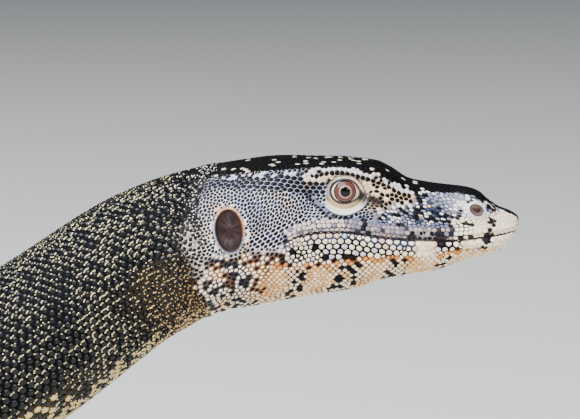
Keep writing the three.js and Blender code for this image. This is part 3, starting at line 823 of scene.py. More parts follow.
def head_tints(s, z, chance):
    """The tints of the head's scales and of the skin between them, painted region by region. A
    scale's own chance, from nought to one, picks among a region's colours."""
    mid = level(s)
    slow, fine, patch = wander(s, z, 2.2), wander(s, z, 0.9), wander(s + 9, z, 3.4)
    skin = Markings(chance, CHEEK_BLACK, NET_PALE)
    skin.lay(SCALE_BLUE, chance > 0.64)
    skin.paint(NET_WARM, smooth_step(slow, -0.1, 0.5) * 0.7)
    skin.paint(NET_LILAC, smooth_step(patch, 0, 0.5) * 0.7)

    loreal = 1 - smooth_step(s + 2 * patch, 51, 58)
    skin.lay(colour(132, 132, 148), loreal)
    skin.lay(colour(232, 226, 224), loreal * (chance > 0.24))
    skin.lay(colour(208, 178, 144), loreal * (chance > 0.52))
    skin.lay(colour(56, 62, 84), loreal * (chance > 0.58))
    skin.lay(SCALE_BLACK, loreal * (chance + 0.12 * slow > 0.7))
    skin.paint(colour(38, 40, 54), loreal)
    skin.paint(colour(14, 15, 20), loreal * smooth_step(fine, -0.5, 0))
    plain = inside(s, 21, 34, 2.5) * inside(z, 6.5, 12, 1.5)
    skin.lay(colour(138, 140, 158), plain * (chance > 0.25))
    skin.lay(colour(182, 182, 192), plain * (chance > 0.7))
    skin.paint(colour(66, 70, 92), plain * 0.8)

    cheek_low = inside(s + patch, 83, 136, 2.5) * smooth_step(-z + slow, 4.0, 8.0)
    skin.lay(BONE, cheek_low)
    skin.lay(PEACH, cheek_low * (chance > 0.5))
    skin.lay(SCALE_BLACK, cheek_low * (chance + 0.3 * wander(s, z, 1.4) > 0.64))
    skin.paint(NET_DARK, cheek_low * 0.95)
    skin.paint(RUST, cheek_low * smooth_step(slow, 0, 0.5) * 0.6)

    rust = bell((s - 96) / 8, (z + 6) / 3.4)
    skin.lay(colour(214, 158, 108), rust * (chance > 0.78))
    skin.lay(CHEEK_BLACK, rust * (chance < 0.5) * 1.4)
    skin.paint(colour(168, 110, 70), rust)
    skin.paint(colour(36, 22, 20), rust * smooth_step(fine, -0.6, 0))

    ear_ring = 1 - smooth_step(hole_distance(EAR_HOLE, s, z), 1.4, 3)
    skin.lay(colour(234, 224, 220), ear_ring * (chance < 0.36))
    skin.lay(PEACH, ear_ring * (chance < 0.12))
    skin.paint(colour(236, 222, 214), ear_ring * 0.8)

    skin.paint(colour(232, 226, 236), fan(s, z) * smooth_step(z, -9, -5) * 0.9)

    stripe = inside(z, stripe_foot(s), stripe_top(s), 0.5) * smooth_step(s, 70, 73)
    skin.lay(SCALE_BLACK, stripe)
    skin.paint(colour(150, 152, 176), stripe)
    above = inside(z + 0.3 * fine, stripe_top(s) + 0.1, stripe_top(s) + 1.3, 0.3)
    above = above * inside(s, 76, 108, 2)
    skin.lay(colour(204, 200, 214), above * (chance < 0.6))
    skin.paint(colour(50, 50, 64), above)

    brow = inside(z, np.minimum(square_row(s) - 3.4, crown_edge(s)), crown_edge(s), 0.3)
    brow = brow * inside(s, 42, 79, 1.5)
    over_row = z - square_row(s)
    skin.lay(colour(242, 216, 184), brow)
    skin.lay(colour(214, 212, 226), brow * smooth_step(over_row, 0.4, 1.2))
    skin.lay(SCALE_BLACK, brow * (over_row < -1.2) * (chance > 0.66))
    skin.lay(SCALE_BLACK, brow * (over_row > 1) * (chance > 0.7))
    skin.paint(colour(206, 170, 138), brow * 0.9)
    skin.paint(colour(60, 40, 34), brow * smooth_step(fine, 0, 0.4) * 0.9)
    squares = inside(over_row, -0.9, 0.9, 0.12) * inside(s, 42, 77, 0.5)
    skin.lay(SCALE_BLACK, squares)
    skin.paint(colour(232, 208, 182), squares * 0.8)

    crown = smooth_step(z - crown_edge(s), -0.25, 0.25)
    near_edge = crown * (1 - smooth_step(z - crown_edge(s), 1, 5))
    skin.lay(colour(7, 7, 8), crown)
    skin.lay(colour(212, 196, 178), near_edge * (chance > 0.88) * (s > 30))
    skin.paint(NET_DARK, crown)

    under_eye = inside(z, lid_fold(s) - 0.3, lid_fold(s) + 2.4) * inside(s, 57, 79, 1)
    skin.lay(colour(116, 120, 146), under_eye * (chance > 0.5))
    skin.paint(NET_SLATE, under_eye * 0.8)
    socket = bell((z - lid_fold(s)) / 0.5) * inside(s, 57, 79, 1)
    skin.lay(NET_DARK, socket)
    skin.paint(NET_DARK, socket * 0.9)

    front = inside(s + 1.2 * patch, 53, 60, 1) * inside(z, 10.5, 17, 0.5)
    skin.lay(colour(246, 226, 190), front * (over_row < -0.9))
    skin.paint(colour(222, 176, 126), front * 0.8)
    skin.lay(SCALE_BLACK, front * (over_row < -0.9) * (chance > 0.8))
    chequer = inside(s + 2.4 * patch, 41, 54, 1.5) * inside(z + 1.6 * slow, 7.6, 15.8, 1.2)
    chequer = chequer * (over_row < 1)
    skin.lay(colour(244, 218, 178), chequer)
    skin.lay(SCALE_BLACK, chequer * (chance < 0.82))
    skin.paint(colour(236, 200, 154), chequer * 0.95)
    streak = bell(((z - 12.7) - 0.46 * (s - 59.7)) / 1.0) * inside(s, 51, 61.5, 0.6)
    skin.lay(STREAK_BROWN, streak)
    skin.paint(STREAK_BROWN, streak * 1.3)
    blotch = bell((s - 53.4) / 2.0, (z - 9.4) / 1.5)
    skin.lay(STREAK_BROWN, blotch)
    skin.paint(STREAK_BROWN, blotch)

    white = bell((s - 22) / 3.2, (z - 7.4) / 2.8)
    skin.lay(colour(244, 238, 232), white * (chance > 0.12))
    skin.paint(colour(190, 186, 192), white)
    cream = inside(z - mid, 0.2, 8, 0.6) * inside(s, 8, 25.5, 0.8)
    skin.lay(colour(248, 232, 204), cream)
    skin.paint(colour(216, 194, 166), cream)

    lip = inside(z - mid, -0.2, 5, 0.3) * (1 - smooth_step(s, 84, 89))
    mauve = lip * smooth_step(s, 24.5, 26)
    skin.lay(PINK_GREY, mauve)
    skin.lay(colour(176, 154, 142), mauve * (chance > 0.66))
    skin.lay(colour(122, 118, 132), mauve * (chance < 0.28))
    skin.lay(colour(52, 48, 56), mauve * (chance > 0.9))
    rear_lip = mauve * smooth_step(s, 60, 66)
    skin.lay(colour(214, 194, 184), rear_lip * (chance > 0.22))
    skin.paint(colour(84, 76, 84), mauve)
    skin.paint(colour(38, 42, 60), rear_lip)
    mosaic = lip * inside(s, 24.5, 32, 0.6)
    skin.lay(colour(48, 42, 46), mosaic * (chance > 0.74))
    skin.paint(colour(50, 44, 48), mosaic)
    low_squares = inside(s, 31.5, 40.5, 0.5) * inside(z - mid, 0.1, 3.5, 0.3)
    skin.lay(SCALE_BLACK, low_squares * (chance > 0.4))
    skin.paint(colour(150, 138, 138), low_squares)
    marks = bell((s - 41) / 6, (z - mid - 5.4) / 0.8)
    skin.lay(colour(44, 32, 32), marks * (chance > 0.4))
    strokes = np.maximum(inside(s + slow, 8.4, 12.2, 0.5), inside(s + slow, 18.2, 24.6, 0.6))
    strokes = strokes * inside(z - mid, 0.1, 7.4, 0.5)
    skin.lay(colour(34, 29, 31), strokes * (chance > 0.66))
    skin.paint(colour(26, 22, 24), strokes * smooth_step(slow + fine, -0.7, -0.3))
    slate_line = bell((z - mid - 5.6) / 0.8) * inside(s, 26, 62, 2) * (1 - marks)
    skin.lay(colour(108, 116, 144), slate_line * (chance > 0.25))
    for at, rise, long, tall in [(57.6, 0.6, 3.2, 2.6), (12.4, -3.6, 1.9, 2.8), (64, 3.2, 1.4, 2.4),
                                 (30, -2.6, 4, 0.9), (40.5, -2.9, 3.4, 0.9)]:
        dark = bell((s - at) / long, (z - rise) / tall) * 1.25 - 0.25
        skin.lay(colour(24, 23, 30), dark * (chance > 0.35) * 1.3)
        skin.paint(NET_DARK, dark * 1.3)

    below = smooth_step(mid - z, 0.1, 0.4)
    jaw = below * smooth_step(z - throat_fold(s), 0, 0.5) * (1 - smooth_step(s, 84, 92))
    skin.lay(BONE, jaw)
    skin.lay(PEACH, jaw * (chance > 0.8))
    skin.lay(colour(196, 194, 202), jaw * (chance < 0.1) * smooth_step(s, 46, 52))
    skin.lay(SCALE_BLACK, jaw * (mid - z > 4) * (s > 60) * (chance > 0.78))
    open_net = np.maximum(inside(s, 31.8, 38.5, 1), inside(s, 14.5, 21, 1))
    open_net = np.maximum(open_net, 1 - smooth_step(s, 10, 11))
    netting = mix(NET_SLATE, NET_DARK, smooth_step(mid - z + 1.5 * slow, 1.5, 3.5)[:, None])
    skin.paint(netting, jaw)
    skin.paint(colour(236, 214, 178), jaw * open_net * 0.95)
    bars = np.maximum(inside(s, 21.5, 31, 0.8), inside(s, 10.8, 14, 0.6))
    skin.lay(colour(32, 29, 34), jaw * bars * (chance > 0.72))
    skin.paint(NET_DARK, jaw * bars)

    throat = below * smooth_step(throat_fold(s) - z, 0, 0.5) * (1 - smooth_step(s, 90, 104))
    skin.lay(colour(244, 222, 188), throat)
    skin.lay(colour(226, 182, 128), throat * (chance + 0.4 * patch > 0.6))
    skin.paint(colour(190, 128, 70), throat)
    skin.paint(colour(48, 32, 26), throat * smooth_step(slow, -0.2, 0.3) * smooth_step(s, 42, 60))
    for start, end in ((59, 67), (41, 49), (26.5, 30.6), (78, 83)):
        ragged = s + 0.4 * z + 1.8 * wander(z * 2.2, s * 0.7, 1.6)
        barred = throat * inside(ragged, start - 6, end - 6, 0.8)
        skin.lay(SCALE_BLACK, barred * (chance > 0.62))
        skin.paint(NET_DARK, barred)
    crease = bell((z - throat_fold(s)) / 0.8) * below * (1 - smooth_step(s, 88, 96))
    skin.lay(colour(208, 140, 74), crease * smooth_step(s, 14, 22) * (chance > 0.15))
    skin.paint(colour(150, 84, 38), crease * smooth_step(s, 14, 22))

    low_tip = (1 - smooth_step(s + patch, 6.5, 9.5)) * (z < crown_edge(s))
    skin.lay(colour(244, 226, 204), low_tip)
    skin.paint(colour(214, 190, 168), low_tip)
    mouth = bell((z - mid) / 0.5) * (1 - smooth_step(s, 86, 90))
    skin.paint(colour(44, 34, 36), mouth * 1.2)
    return skin.scales, skin.net


def head_build(s, z, fold):
    """How the head's scales are made, region by region: the gap to the next, the height, the
    length against the breadth, the lean up and forward in degrees, and the gloss."""
    mid = level(s)
    build = {"gap": np.full(len(s), 0.06), "height": np.full(len(s), 0.2),
             "stretch": np.full(len(s), 1.6), "lean": np.full(len(s), 42.0),
             "gloss": np.full(len(s), 0.25)}

    def shape(share, **values):
        for key, value in values.items():
            build[key] = mix(build[key], value, np.clip(share, 0, 1))

    behind = s - neck_line(fold)
    shape(smooth_step(s, 96, 102), stretch=1.1)
    shape(fan(s, z), lean=np.degrees(np.arctan(FAN_FALL)), stretch=1.75, gap=0.09)
    shape(smooth_step(-z, 4, 7) * smooth_step(s, 78, 86), gap=0.26, stretch=1.5, lean=30,
          height=0.22, gloss=0.25)
    shape(1 - smooth_step(s, 50, 58), gap=0.14, height=0.17, stretch=1.8, lean=-10, gloss=0.2)
    shape(inside(z, stripe_foot(s) - 0.5, stripe_top(s) + 0.4) * smooth_step(s, 70, 74),
          stretch=1.3, lean=0, gap=0.03, gloss=0.3)
    shape(inside(z, square_row(s) - 3, crown_edge(s)) * inside(s, 40, 79, 1), stretch=1, lean=0,
          gap=0.02)
    shape(inside(s, 40, 53, 1) * inside(z, 7, 15.5), stretch=1.15, lean=-20, gap=0.03)
    shape(smooth_step(z - crown_edge(s), -0.2, 0.3), stretch=1.3, lean=0, gap=0.08, height=0.2,
          gloss=0.08)
    shape(inside(z - mid, -0.2, 4.6) * (1 - smooth_step(s, 84, 89)), stretch=1, lean=0, gap=0.07,
          height=0.13, gloss=0.25)
    below = smooth_step(mid - z, 0.1, 0.4) * (1 - smooth_step(s, 84, 92))
    dark_net = smooth_step(s, 37, 40) + inside(s, 21.5, 31.5, 1)
    shape(below, stretch=1, lean=0, gap=0.07, height=0.2, gloss=0.25)
    uneven = 0.25 + 0.17 * wander(s, z, 1.3)
    shape(below * dark_net * smooth_step(z - throat_fold(s), 0, 0.5), gap=uneven)
    shape(below * smooth_step(throat_fold(s) - z, 0, 0.5) * smooth_step(s, 36, 50), gap=0.14)
    shape(1 - smooth_step(s, 6.5, 10), height=0.1, gap=0.03, gloss=0.3)
    shape(smooth_step(behind, -7, 4), stretch=1.25, lean=20, gap=0.09, height=0.34, gloss=0.8)
    shape(smooth_step(behind, 2, 14), gap=0.06, height=0.5, gloss=1)
    return build


def body_tints(s, fold, chance):
    """The tints behind the head. fold is the turn counted down either side, from nought at the
    back's midline to eight at the belly's."""
    skin = Markings(chance, SCALE_BLACK, BACK_BLACK)
    arc = fold * wide(s) / 5
    ragged = s + 4 * wander(arc, s, 4)
    orange = smooth_step(fold + 0.5 * wander(s, arc, 5), 4, 5.6)
    orange = orange * (1 - smooth_step(ragged, 134, 166))
    skin.paint(colour(214, 164, 98), orange * 0.1)
    pale = (1 - smooth_step(ragged, 117, 127)) * smooth_step(fold, 2.4, 3.4)
    skin.paint(colour(232, 214, 200), pale)
    skin.lay(colour(150, 140, 140), pale * (chance > 0.86))

    row = (s - 236) / 38.5
    in_row = (row - np.floor(row) - 0.5) * 38.5
    torso = smooth_step(s, 225, 245) * (1 - smooth_step(s, 625, 650))
    spacing = 21
    shifted = arc + spacing * 0.5 * (np.floor(row) % 2)
    in_spot = (shifted / spacing - np.floor(shifted / spacing) - 0.5) * spacing
    from_spot = np.hypot(in_row, in_spot * 1.1) + 1.2 * wander(s, arc, 3)
    ring = inside(from_spot, 3.4, 6.8, 0.6) * torso * (fold < 5.6)
    skin.lay(BACK_BLACK, torso)
    skin.lay(SPOT_YELLOW, ring * (chance > 0.14))
    speck = torso * (chance > 0.93)
    skin.lay(colour(150, 132, 80), speck * (ring < 0.2) * (fold < 5.6))

    under = smooth_step(fold, 5.75, 6.15) * smooth_step(s, 160, 240)
    belly_bar = inside(np.abs(in_row), 0, 9.5 - 5.2 * (fold - 5.6), 0.8)
    skin.lay(BELLY_YELLOW, under)
    skin.paint(colour(168, 140, 86), under)
    skin.lay(colour(48, 42, 36), under * belly_bar * (chance > 0.1))
    throat = smooth_step(fold, 6.3, 6.9) * (1 - smooth_step(s, 200, 245))
    skin.lay(colour(206, 176, 120), throat * (chance > 0.35))

    tail = smooth_step(s, 622, 648)
    period = 42 + 0.018 * (s - 640)
    phase = (s - 640) / period + 0.12 * wander(s, arc, 9)
    in_band = np.abs(phase - np.floor(phase) - 0.5)
    band = (1 - smooth_step(in_band, 0.1, 0.17)) * tail
    skin.lay(colour(38, 34, 30), tail)
    skin.lay(SPOT_YELLOW, band * (chance > 0.22) * 0.95)
    skin.lay(colour(120, 106, 70), tail * (1 - band) * (chance > 0.9))
    tail_under = tail * smooth_step(fold, 6.6, 7.2) * (1 - smooth_step(s, 1000, 1200))
    skin.lay(colour(186, 160, 104), tail_under * (chance > 0.3))
    return skin.scales, skin.net


def fold_of(u):
    """The turn counted down either side, from nought on the back to eight under the belly."""
    return np.minimum(u, TURNS - u)


def trunk_tints(s, u, chance):
    """The tints of the trunk's scales and net, the head's giving way to the body's at the neck."""
    z = section_point(s, u)[0][:, 1]
    fold = fold_of(u % TURNS)
    on_head = s < 132
    scales, net = body_tints(s, fold, chance)
    face_scales, face_net = head_tints(s[on_head], z[on_head], chance[on_head])
    ragged = s[on_head] + 2.5 * wander(s[on_head], z[on_head], 1.7)
    border = smooth_step(ragged - neck_line(fold[on_head]), -5, 3)
    scales[on_head] = lay(face_scales, scales[on_head], border, own_bar(chance[on_head]))
    net[on_head] = mix(face_net, net[on_head], border[:, None])
    return scales, net


def limb_tints(part, v, angle, chance):
    """The tints of a limb's scales and net: black above with yellow dots in staggered rows, cross
    bars on the digits, and a dull yellow underside."""
    share = np.clip((v - CAP_SHARE) / (1 - 2 * CAP_SHARE), 0, 1)
    ahead = share * part["reach"]
    broad = part["broad"](share)
    pitch = 9.5 if part["depth"] == LIMB_DEPTH else 7.5
    row = np.floor(ahead / pitch)
    aside = angle * broad / pitch + 0.5 * (row % 2)
    from_dot = pitch * np.hypot(ahead / pitch - row - 0.5, aside - np.floor(aside) - 0.5)
    from_dot = from_dot + 0.9 * wander(ahead, angle * broad, 2.3)
    dot = (1 - smooth_step(from_dot, 1.5, 2.3)) * (chance > 0.12)
    if part["depth"] == DIGIT_DEPTH:
        in_bar = np.abs(ahead / pitch - row - 0.5)
        dot = (1 - smooth_step(in_bar, 0.12, 0.2)) * (chance > 0.35)
    under = smooth_step(-np.cos(angle), 0.15, 0.5)
    skin = Markings(chance, BACK_BLACK, NET_DARK)
    skin.lay(colour(58, 54, 48), chance > 0.8)
    skin.lay(SPOT_YELLOW, dot * (1 - under))
    skin.lay(colour(176, 154, 108), under * (chance > 0.25))
    skin.paint(colour(112, 96, 68), under)
    return skin.scales, skin.net


# Hide. The skin itself, one piece over the trunk and the four limbs: it shows between the scales
# and in the folds, and carries the same markings as the scales do, matt where they are glossy.
def circle(count):
    """Angles evenly round a full turn."""
    return np.arange(count) * 2 * np.pi / count


hide_points, hide_faces = [swell_trunk(trunk_points, trunk_s)], list(trunk_faces)
hide_net = [trunk_tints(trunk_s, trunk_u, np.full(len(trunk_s), 0.5))[1]]
first = len(trunk_points)
for _, _, _, limb in limbs:
    for form, part in limb_parts(limb):
        rows, columns = LIMB_GRIDS[form]
        v, angle = np.meshgrid(np.linspace(0, 1, rows)[1:-1],
                               circle(columns), indexing="ij")
        v = np.concatenate([[0], v.ravel(), [1]])
        angle = np.concatenate([[0], angle.ravel(), [0]])
        hide_points.append(limb_point(part, v, angle, -part["depth"]))
        hide_net.append(limb_tints(part, v, angle, np.full(len(v), 0.5))[1])
        ring = first + 1 + np.arange(columns)
        last_ring = ring + (rows - 3) * columns
        hide_faces += [pole_faces(first, ring), grid_faces(rows - 2, columns, first + 1),
                       pole_faces(last_ring[-1] + 1, last_ring, onward=True)]
        first += len(v)
hide = make_mesh("hide", np.concatenate(hide_points), hide_faces)
set_tint(hide, np.concatenate(hide_net))
hide.data.materials.append(tinted_material("hide_skin", 1800, 0.00015, 0.5, 0.66, 0, 0.04))
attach(hide, "root")
FLESH = ["head", "lower_jaw", "neck", "chest", "belly", "hips"]
FLESH += [f"tail_{number}" for number in range(1, 6)]
FLESH += [f"{part}_{name}" for name, _, kind, _ in limbs for part in kind["names"]]
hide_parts(*FLESH)

# Eyes. A ball of clear horn over a red-brown iris with a round pupil, set deep in its socket. The
# iris is painted from each point's distance from the line of sight.
EYE_RINGS = 64
EYE_SIDES = 72
SIGHT_TILT = 4
IRIS_REACH = 6
SPOKE_SHIFT = 0.55


def ball_grid(rings, sides):
    """Unit directions of a ball from its front pole to its rear pole, as a pole, rings and a pole,
    with faces: the polar angle runs over the rings and the turn over the sides."""
    polar, turn = np.meshgrid(np.linspace(0, np.pi, rings + 1)[1:-1],
                              circle(sides), indexing="ij")
    polar, turn = np.append(np.insert(polar.ravel(), 0, 0), np.pi), np.pad(turn.ravel(), 1)
    ahead = np.cos(polar)
    directions = np.stack([ahead, np.sin(polar) * np.cos(turn), np.sin(polar) * np.sin(turn)], 1)
    ring = 1 + np.arange(sides)
    last_ring = ring + (rings - 2) * sides
    faces = [pole_faces(0, ring, onward=True), grid_faces(rings - 1, sides, 1)[:, ::-1],
             pole_faces(last_ring[-1] + 1, last_ring)]
    return directions, polar, faces


def iris_material():
    """Rings of colour by the distance from the pupil's middle, in millimetres, with fine spokes."""
    made, tree, shader = new_material("eye_surface")
    set_inputs(shader, Coat_Weight=0.34, Coat_Roughness=0.02, Specular_IOR_Level=0.1)
    sight = add_node(tree, "Attribute")
    sight.attribute_name = "sight"
    parts = add_node(tree, "SeparateXYZ")
    spokes = add_node(tree, "TexNoise", Scale=3.2, Detail=5, Roughness=0.7)
    shift = add_node(tree, "Math")
    shift.operation = "MULTIPLY_ADD"
    shift.inputs[1].default_value = SPOKE_SHIFT
    rings = add_node(tree, "MapRange", From_Min=SPOKE_SHIFT / 2,
                     From_Max=IRIS_REACH + SPOKE_SHIFT / 2)
    ramp = add_node(tree, "ValToRGB")
    relief_node = add_relief(tree, 900, 0.06, 0.12)
    join(tree, (sight, "Vector", parts, "Vector"), (sight, "Vector", spokes, "Vector"),
         (spokes, "Fac", shift, 0), (parts, "X", shift, 2), (shift, "Value", rings, "Value"),
         (rings, "Result", ramp, "Fac"), (ramp, "Color", shader, "Base Color"),
         (relief_node, "Shine", shader, "Roughness"))
    stops = [
        (0.0, colour(4, 4, 6)), (1.84, colour(4, 4, 6)), (1.95, colour(200, 172, 148)),
        (2.15, colour(164, 126, 108)), (2.4, colour(112, 70, 66)), (3.0, colour(80, 44, 42)),
        (3.6, colour(108, 68, 66)), (3.78, colour(24, 13, 13)), (4.1, colour(10, 8, 8)),
        (4.26, colour(232, 214, 190)), (6.0, colour(214, 190, 164)),
    ]
    band = ramp.color_ramp.elements
    band[0].position, band[0].color = 0, (*stops[0][1], 1)
    band[1].position, band[1].color = 1, (*stops[-1][1], 1)
    for radius, tint in stops[1:-1]:
        stop = band.new(radius / IRIS_REACH)
        stop.color = (*tint, 1)
    return made


eye_finish = iris_material()
SIDES = {"right": -1, "left": 1}
for name, side in SIDES.items():
    at, back, left, up = (v[0] for v in spine_frame(np.array([EYE["station"]])))
    centre = at + left * side * EYE["out"] + up * EYE["rise"]
    sight = unit(left * side - back * np.sin(np.radians(SIGHT_TILT)))
    upright = unit(up - sight * (up @ sight))
    directions, polar, faces = ball_grid(EYE_RINGS, EYE_SIDES)
    axes = np.stack([sight, np.cross(upright, sight), upright])
    cornea = 0.35 * np.clip(1 - (polar / 0.72) ** 2, 0, 1)
    ball = centre + directions @ axes * (EYE["radius"] - 0.1 + cornea)[:, None]
    eye = make_mesh(f"eyeball_{name}", ball, faces)
    radius = EYE["radius"] * np.sin(np.clip(polar, 0, np.pi / 2))
    around = np.arctan2(directions[:, 2], directions[:, 1])
    painted = np.stack([radius, 2.2 * np.cos(3 * around), 2.2 * np.sin(3 * around)], axis=1)
    eye.data.attributes.new("sight", "FLOAT_VECTOR", "POINT").data.foreach_set(
        "vector", painted.astype(np.float32).ravel())
    eye.data.materials.append(eye_finish)
    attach(eye, "root")
    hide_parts(f"eye_{name}")

# Rims. Eyelids, nostrils and the hollows of the ears are folds of skin round an opening. Each is a
# polar grid round its opening that starts inside it and runs out until it dips under the scales.
def ring_place(hole, around, beyond):
    """Station and height of points a distance beyond an opening's edge, an oval whose long axis is
    turned by the tilt, with a corner drawn out to the front and below where it has one."""
    long, tall = hole["long"] + beyond, hole["tall"] + beyond
    corner = hole.get("corner", 0) * bell((np.cos(around + 0.45) - 1) * 5)
    s, z = -(long + corner) * np.cos(around), tall * np.sin(around)
    cos, sin = np.cos(hole["tilt"]), np.sin(hole["tilt"])
    return hole["station"] + s * cos + z * sin, hole["rise"] - s * sin + z * cos


def side_point(s, z, side, sideways=0.0):
    """A point of the head's side at a station and height, moved sideways off the hide."""
    turn = turn_at(s, z)
    points = trunk_point(s, turn if side > 0 else TURNS - turn)
    left = spine_frame(s)[2]
    return points + left * (side * np.broadcast_to(sideways, s.shape))[:, None]


def side_piece(name, s, z, side, sideways, tints, material, closed=False):
    """An object on the head's side from rings by turns of stations, heights and tints, moved
    sideways off the hide. Where it is closed, its first ring meets in a point at its middle."""
    rings, turns = s.shape
    points = side_point(s.ravel(), z.ravel(), side, sideways.ravel())
    faces = [grid_faces(rings, turns)]
    tints = tints.reshape(-1, 3)
    if closed:
        points, tints = (np.vstack([rows, rows[:turns].mean(axis=0)]) for rows in (points, tints))
        faces.append(pole_faces(rings * turns, np.arange(turns)))
    if side < 0:
        faces = [group[:, ::-1] for group in faces]
    made = make_mesh(name, points, faces)
    set_tint(made, tints)
    made.data.materials.append(material)
    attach(made, "root")
    return made


def rim_rings(turns, *profile):
    """Angles round a rim, and at each of them how far its rings lie beyond the opening's edge and
    sideways off the hide, from a profile of such pairs."""
    rows = np.array(profile, float).T
    beyond, sideways = (np.repeat(row[:, None], turns, axis=1) for row in rows)
    return circle(turns), beyond, sideways


def blend_tints(share, *stops):
    """Colours along a run of (place, colour) stops, mixed evenly between them."""
    at = np.array([stop[0] for stop in stops])
    values = np.array([stop[1] for stop in stops])
    return np.stack([np.interp(share, at, values[:, k]) for k in range(3)], axis=-1)


LID_CREAM = colour(250, 242, 226)
LID_STRIPED = colour(222, 196, 150)
LID_DARK = colour(16, 14, 18)
LID_RUST = colour(150, 84, 44)
lid_skin = tinted_material("lid_skin", 2200, 0.00012, 0.3, 0.42, 0.25)
membrane = tinted_material("ear_membrane", 1500, 0.0001, 0.36, 0.5, 0.05, 0.14)
LID_TURNS = 216
LID_RINGS = 34
rim_turns = circle(LID_TURNS)


def make_lids(name, side):
    """Eyelids: from inside the opening they lie on the eyeball, turn over at a thick margin and
    rise to the swelling of the orbit, with fine upright furrows below the eye."""
    extent = lid_extent(rim_turns)
    step = np.concatenate([[-0.05, -0.03, -0.012], np.linspace(0, 1, LID_RINGS - 3) ** 1.1])
    beyond = np.where(step[:, None] < 0, step[:, None] * 9, step[:, None] * extent)
    around = np.broadcast_to(rim_turns, beyond.shape)
    s, z = ring_place(EYE_HOLE, around, beyond)
    at, _, left, _ = spine_frame(s.ravel())
    hide_out = np.sum((side_point(s.ravel(), z.ravel(), side) - at) * left, axis=1) * side
    hide_out = hide_out.reshape(beyond.shape)
    from_sight = np.hypot(s - EYE["station"], z - EYE["rise"])
    ball_out = EYE["out"] + np.sqrt(np.clip(EYE["radius"] ** 2 - from_sight**2, 1, None))
    margin = ball_out + 0.62 - 0.95 * smooth_step(-beyond, -0.05, 0.42)
    risen = mix(margin, hide_out, smooth_step(beyond, 0.3, 4.2))
    low = smooth_step(0.2 * np.cos(around) - np.sin(around), 0, 0.5)
    wave = np.cos(around * 84 + 1.5 * np.sin(around * 5))
    furrows = 0.09 * wave * low
    furrows = furrows * smooth_step(beyond, 0.4, 0.9) * (1 - smooth_step(beyond, 2.0, 2.6))
    fold = -0.28 * bell((beyond - 2.3) / 0.28) * low + 0.22 * bell((beyond - 3.3) / 0.8) * low
    crease = -0.25 * bell((beyond - 1.73) / 0.2) * (1 - low)
    sunk = -0.6 * smooth_step(beyond / extent, 0.93, 1)
    sideways = risen - hide_out + furrows + fold + crease + sunk
    upper = blend_tints(beyond, (-0.45, LID_DARK), (0.55, LID_DARK), (0.66, LID_CREAM),
                        (1.5, LID_CREAM), (1.62, LID_DARK), (1.84, LID_DARK),
                        (1.96, colour(226, 178, 124)))
    lower = blend_tints(beyond, (-0.45, LID_DARK), (0.5, LID_DARK), (0.62, LID_STRIPED),
                        (2.0, LID_STRIPED), (2.16, colour(112, 92, 76)), (2.34, LID_CREAM),
                        (3.75, LID_CREAM), (3.95, NET_SLATE), (4.1, colour(30, 36, 58)),
                        (4.5, SLATE))
    tints = mix(upper, lower, low[..., None])
    stripe = (0.5 + 0.5 * wave)[..., None]
    banded = (smooth_step(beyond, 0.4, 0.7) * (1 - smooth_step(beyond, 1.9, 2.2)) * low)[..., None]
    tints = tints * (1 - 0.4 * stripe * banded)
    rust = bell((np.cos(around - 0.7) - 1) * 6) * bell((beyond + 0.12) / 0.2)
    tints = mix(tints, LID_RUST, rust[..., None])
    corner = bell((np.cos(around + 0.4) - 1) * 14) * smooth_step(beyond, -0.4, 0.1)
    tints = mix(tints, STREAK_BROWN, corner[..., None])
    return side_piece(f"eyelids_{name}", s, z, side, sideways, tints, lid_skin)


def make_nostril(name, side):
    """A nostril: a pale swollen rim and a hollow that deepens forward, painted darker deep inside
    as shade, with a patch of painted light on the upper rear of its wall.
    """
    around, beyond, sideways = rim_rings(
        72, (-1.75, -2.9), (-1.7, -2.7), (-1.2, -2.2), (-0.8, -1.5), (-0.5, -0.8), (-0.25, -0.25),
        (0, 0.1), (0.25, 0.3), (0.5, 0.34), (0.8, 0.24), (1.1, 0), (1.3, -0.5))
    # The hollow's tint is painted darker towards its bottom, as shade.
    tints = blend_tints(beyond, (-1.7, colour(60, 34, 34)), (-1.1, colour(86, 54, 52)),
                        (-0.5, colour(120, 96, 98)), (-0.1, colour(40, 34, 38)),
                        (0.1, colour(60, 56, 62)), (0.35, colour(226, 222, 220)),
                        (1.2, colour(206, 206, 212)))
    # A patch of painted light on the upper rear of the hollow's wall.
    lit = (bell((np.cos(around - 2.5) - 1) * 2) * (beyond < -0.4))[..., None]
    tints = mix(tints, colour(206, 176, 150), 0.6 * lit)
    s, z = ring_place(NOSTRIL_HOLE, around, beyond)
    return side_piece(f"nostril_{name}", s, z, side, sideways, tints, lid_skin, closed=True)


def make_ear(name, side):
    """An ear: a soft raised rim of skin round the hollow in which the eardrum lies."""
    around, beyond, sideways = rim_rings(
        120, (-1.0, -2.3), (-0.8, -1.9), (-0.5, -1.2), (-0.2, -0.5), (0, -0.1), (0.15, 0.12),
        (0.35, 0.2), (0.55, 0.16), (0.75, 0.02), (0.95, -0.25), (1.15, -0.6))
    upper = blend_tints(beyond, (-0.8, colour(50, 32, 30)), (-0.2, colour(110, 66, 44)),
                        (0.3, colour(190, 136, 88)), (0.7, colour(226, 196, 166)),
                        (1.1, colour(120, 96, 84)))
    lower = blend_tints(beyond, (-0.8, colour(36, 26, 28)), (-0.1, colour(48, 40, 44)),
                        (0.3, colour(110, 106, 116)), (0.7, colour(206, 206, 216)),
                        (1.1, colour(90, 92, 108)))
    high = smooth_step(np.sin(around + 0.5), -0.1, 0.7)
    tints = mix(lower, upper, np.broadcast_to(high, beyond.shape)[..., None])
    beads = smooth_step(np.cos(around * 31 + 2 * np.sin(around * 4)), -0.3, 0.6)[..., None]
    sideways = sideways + 0.1 * beads[..., 0] * smooth_step(beyond, 0, 0.4)
    tints = tints * (1 - 0.5 * (1 - beads) * smooth_step(beyond, 0, 0.3)[..., None])
    s, z = ring_place(EAR_HOLE, around, beyond)
    return side_piece(f"ear_rim_{name}", s, z, side, sideways, tints, lid_skin)


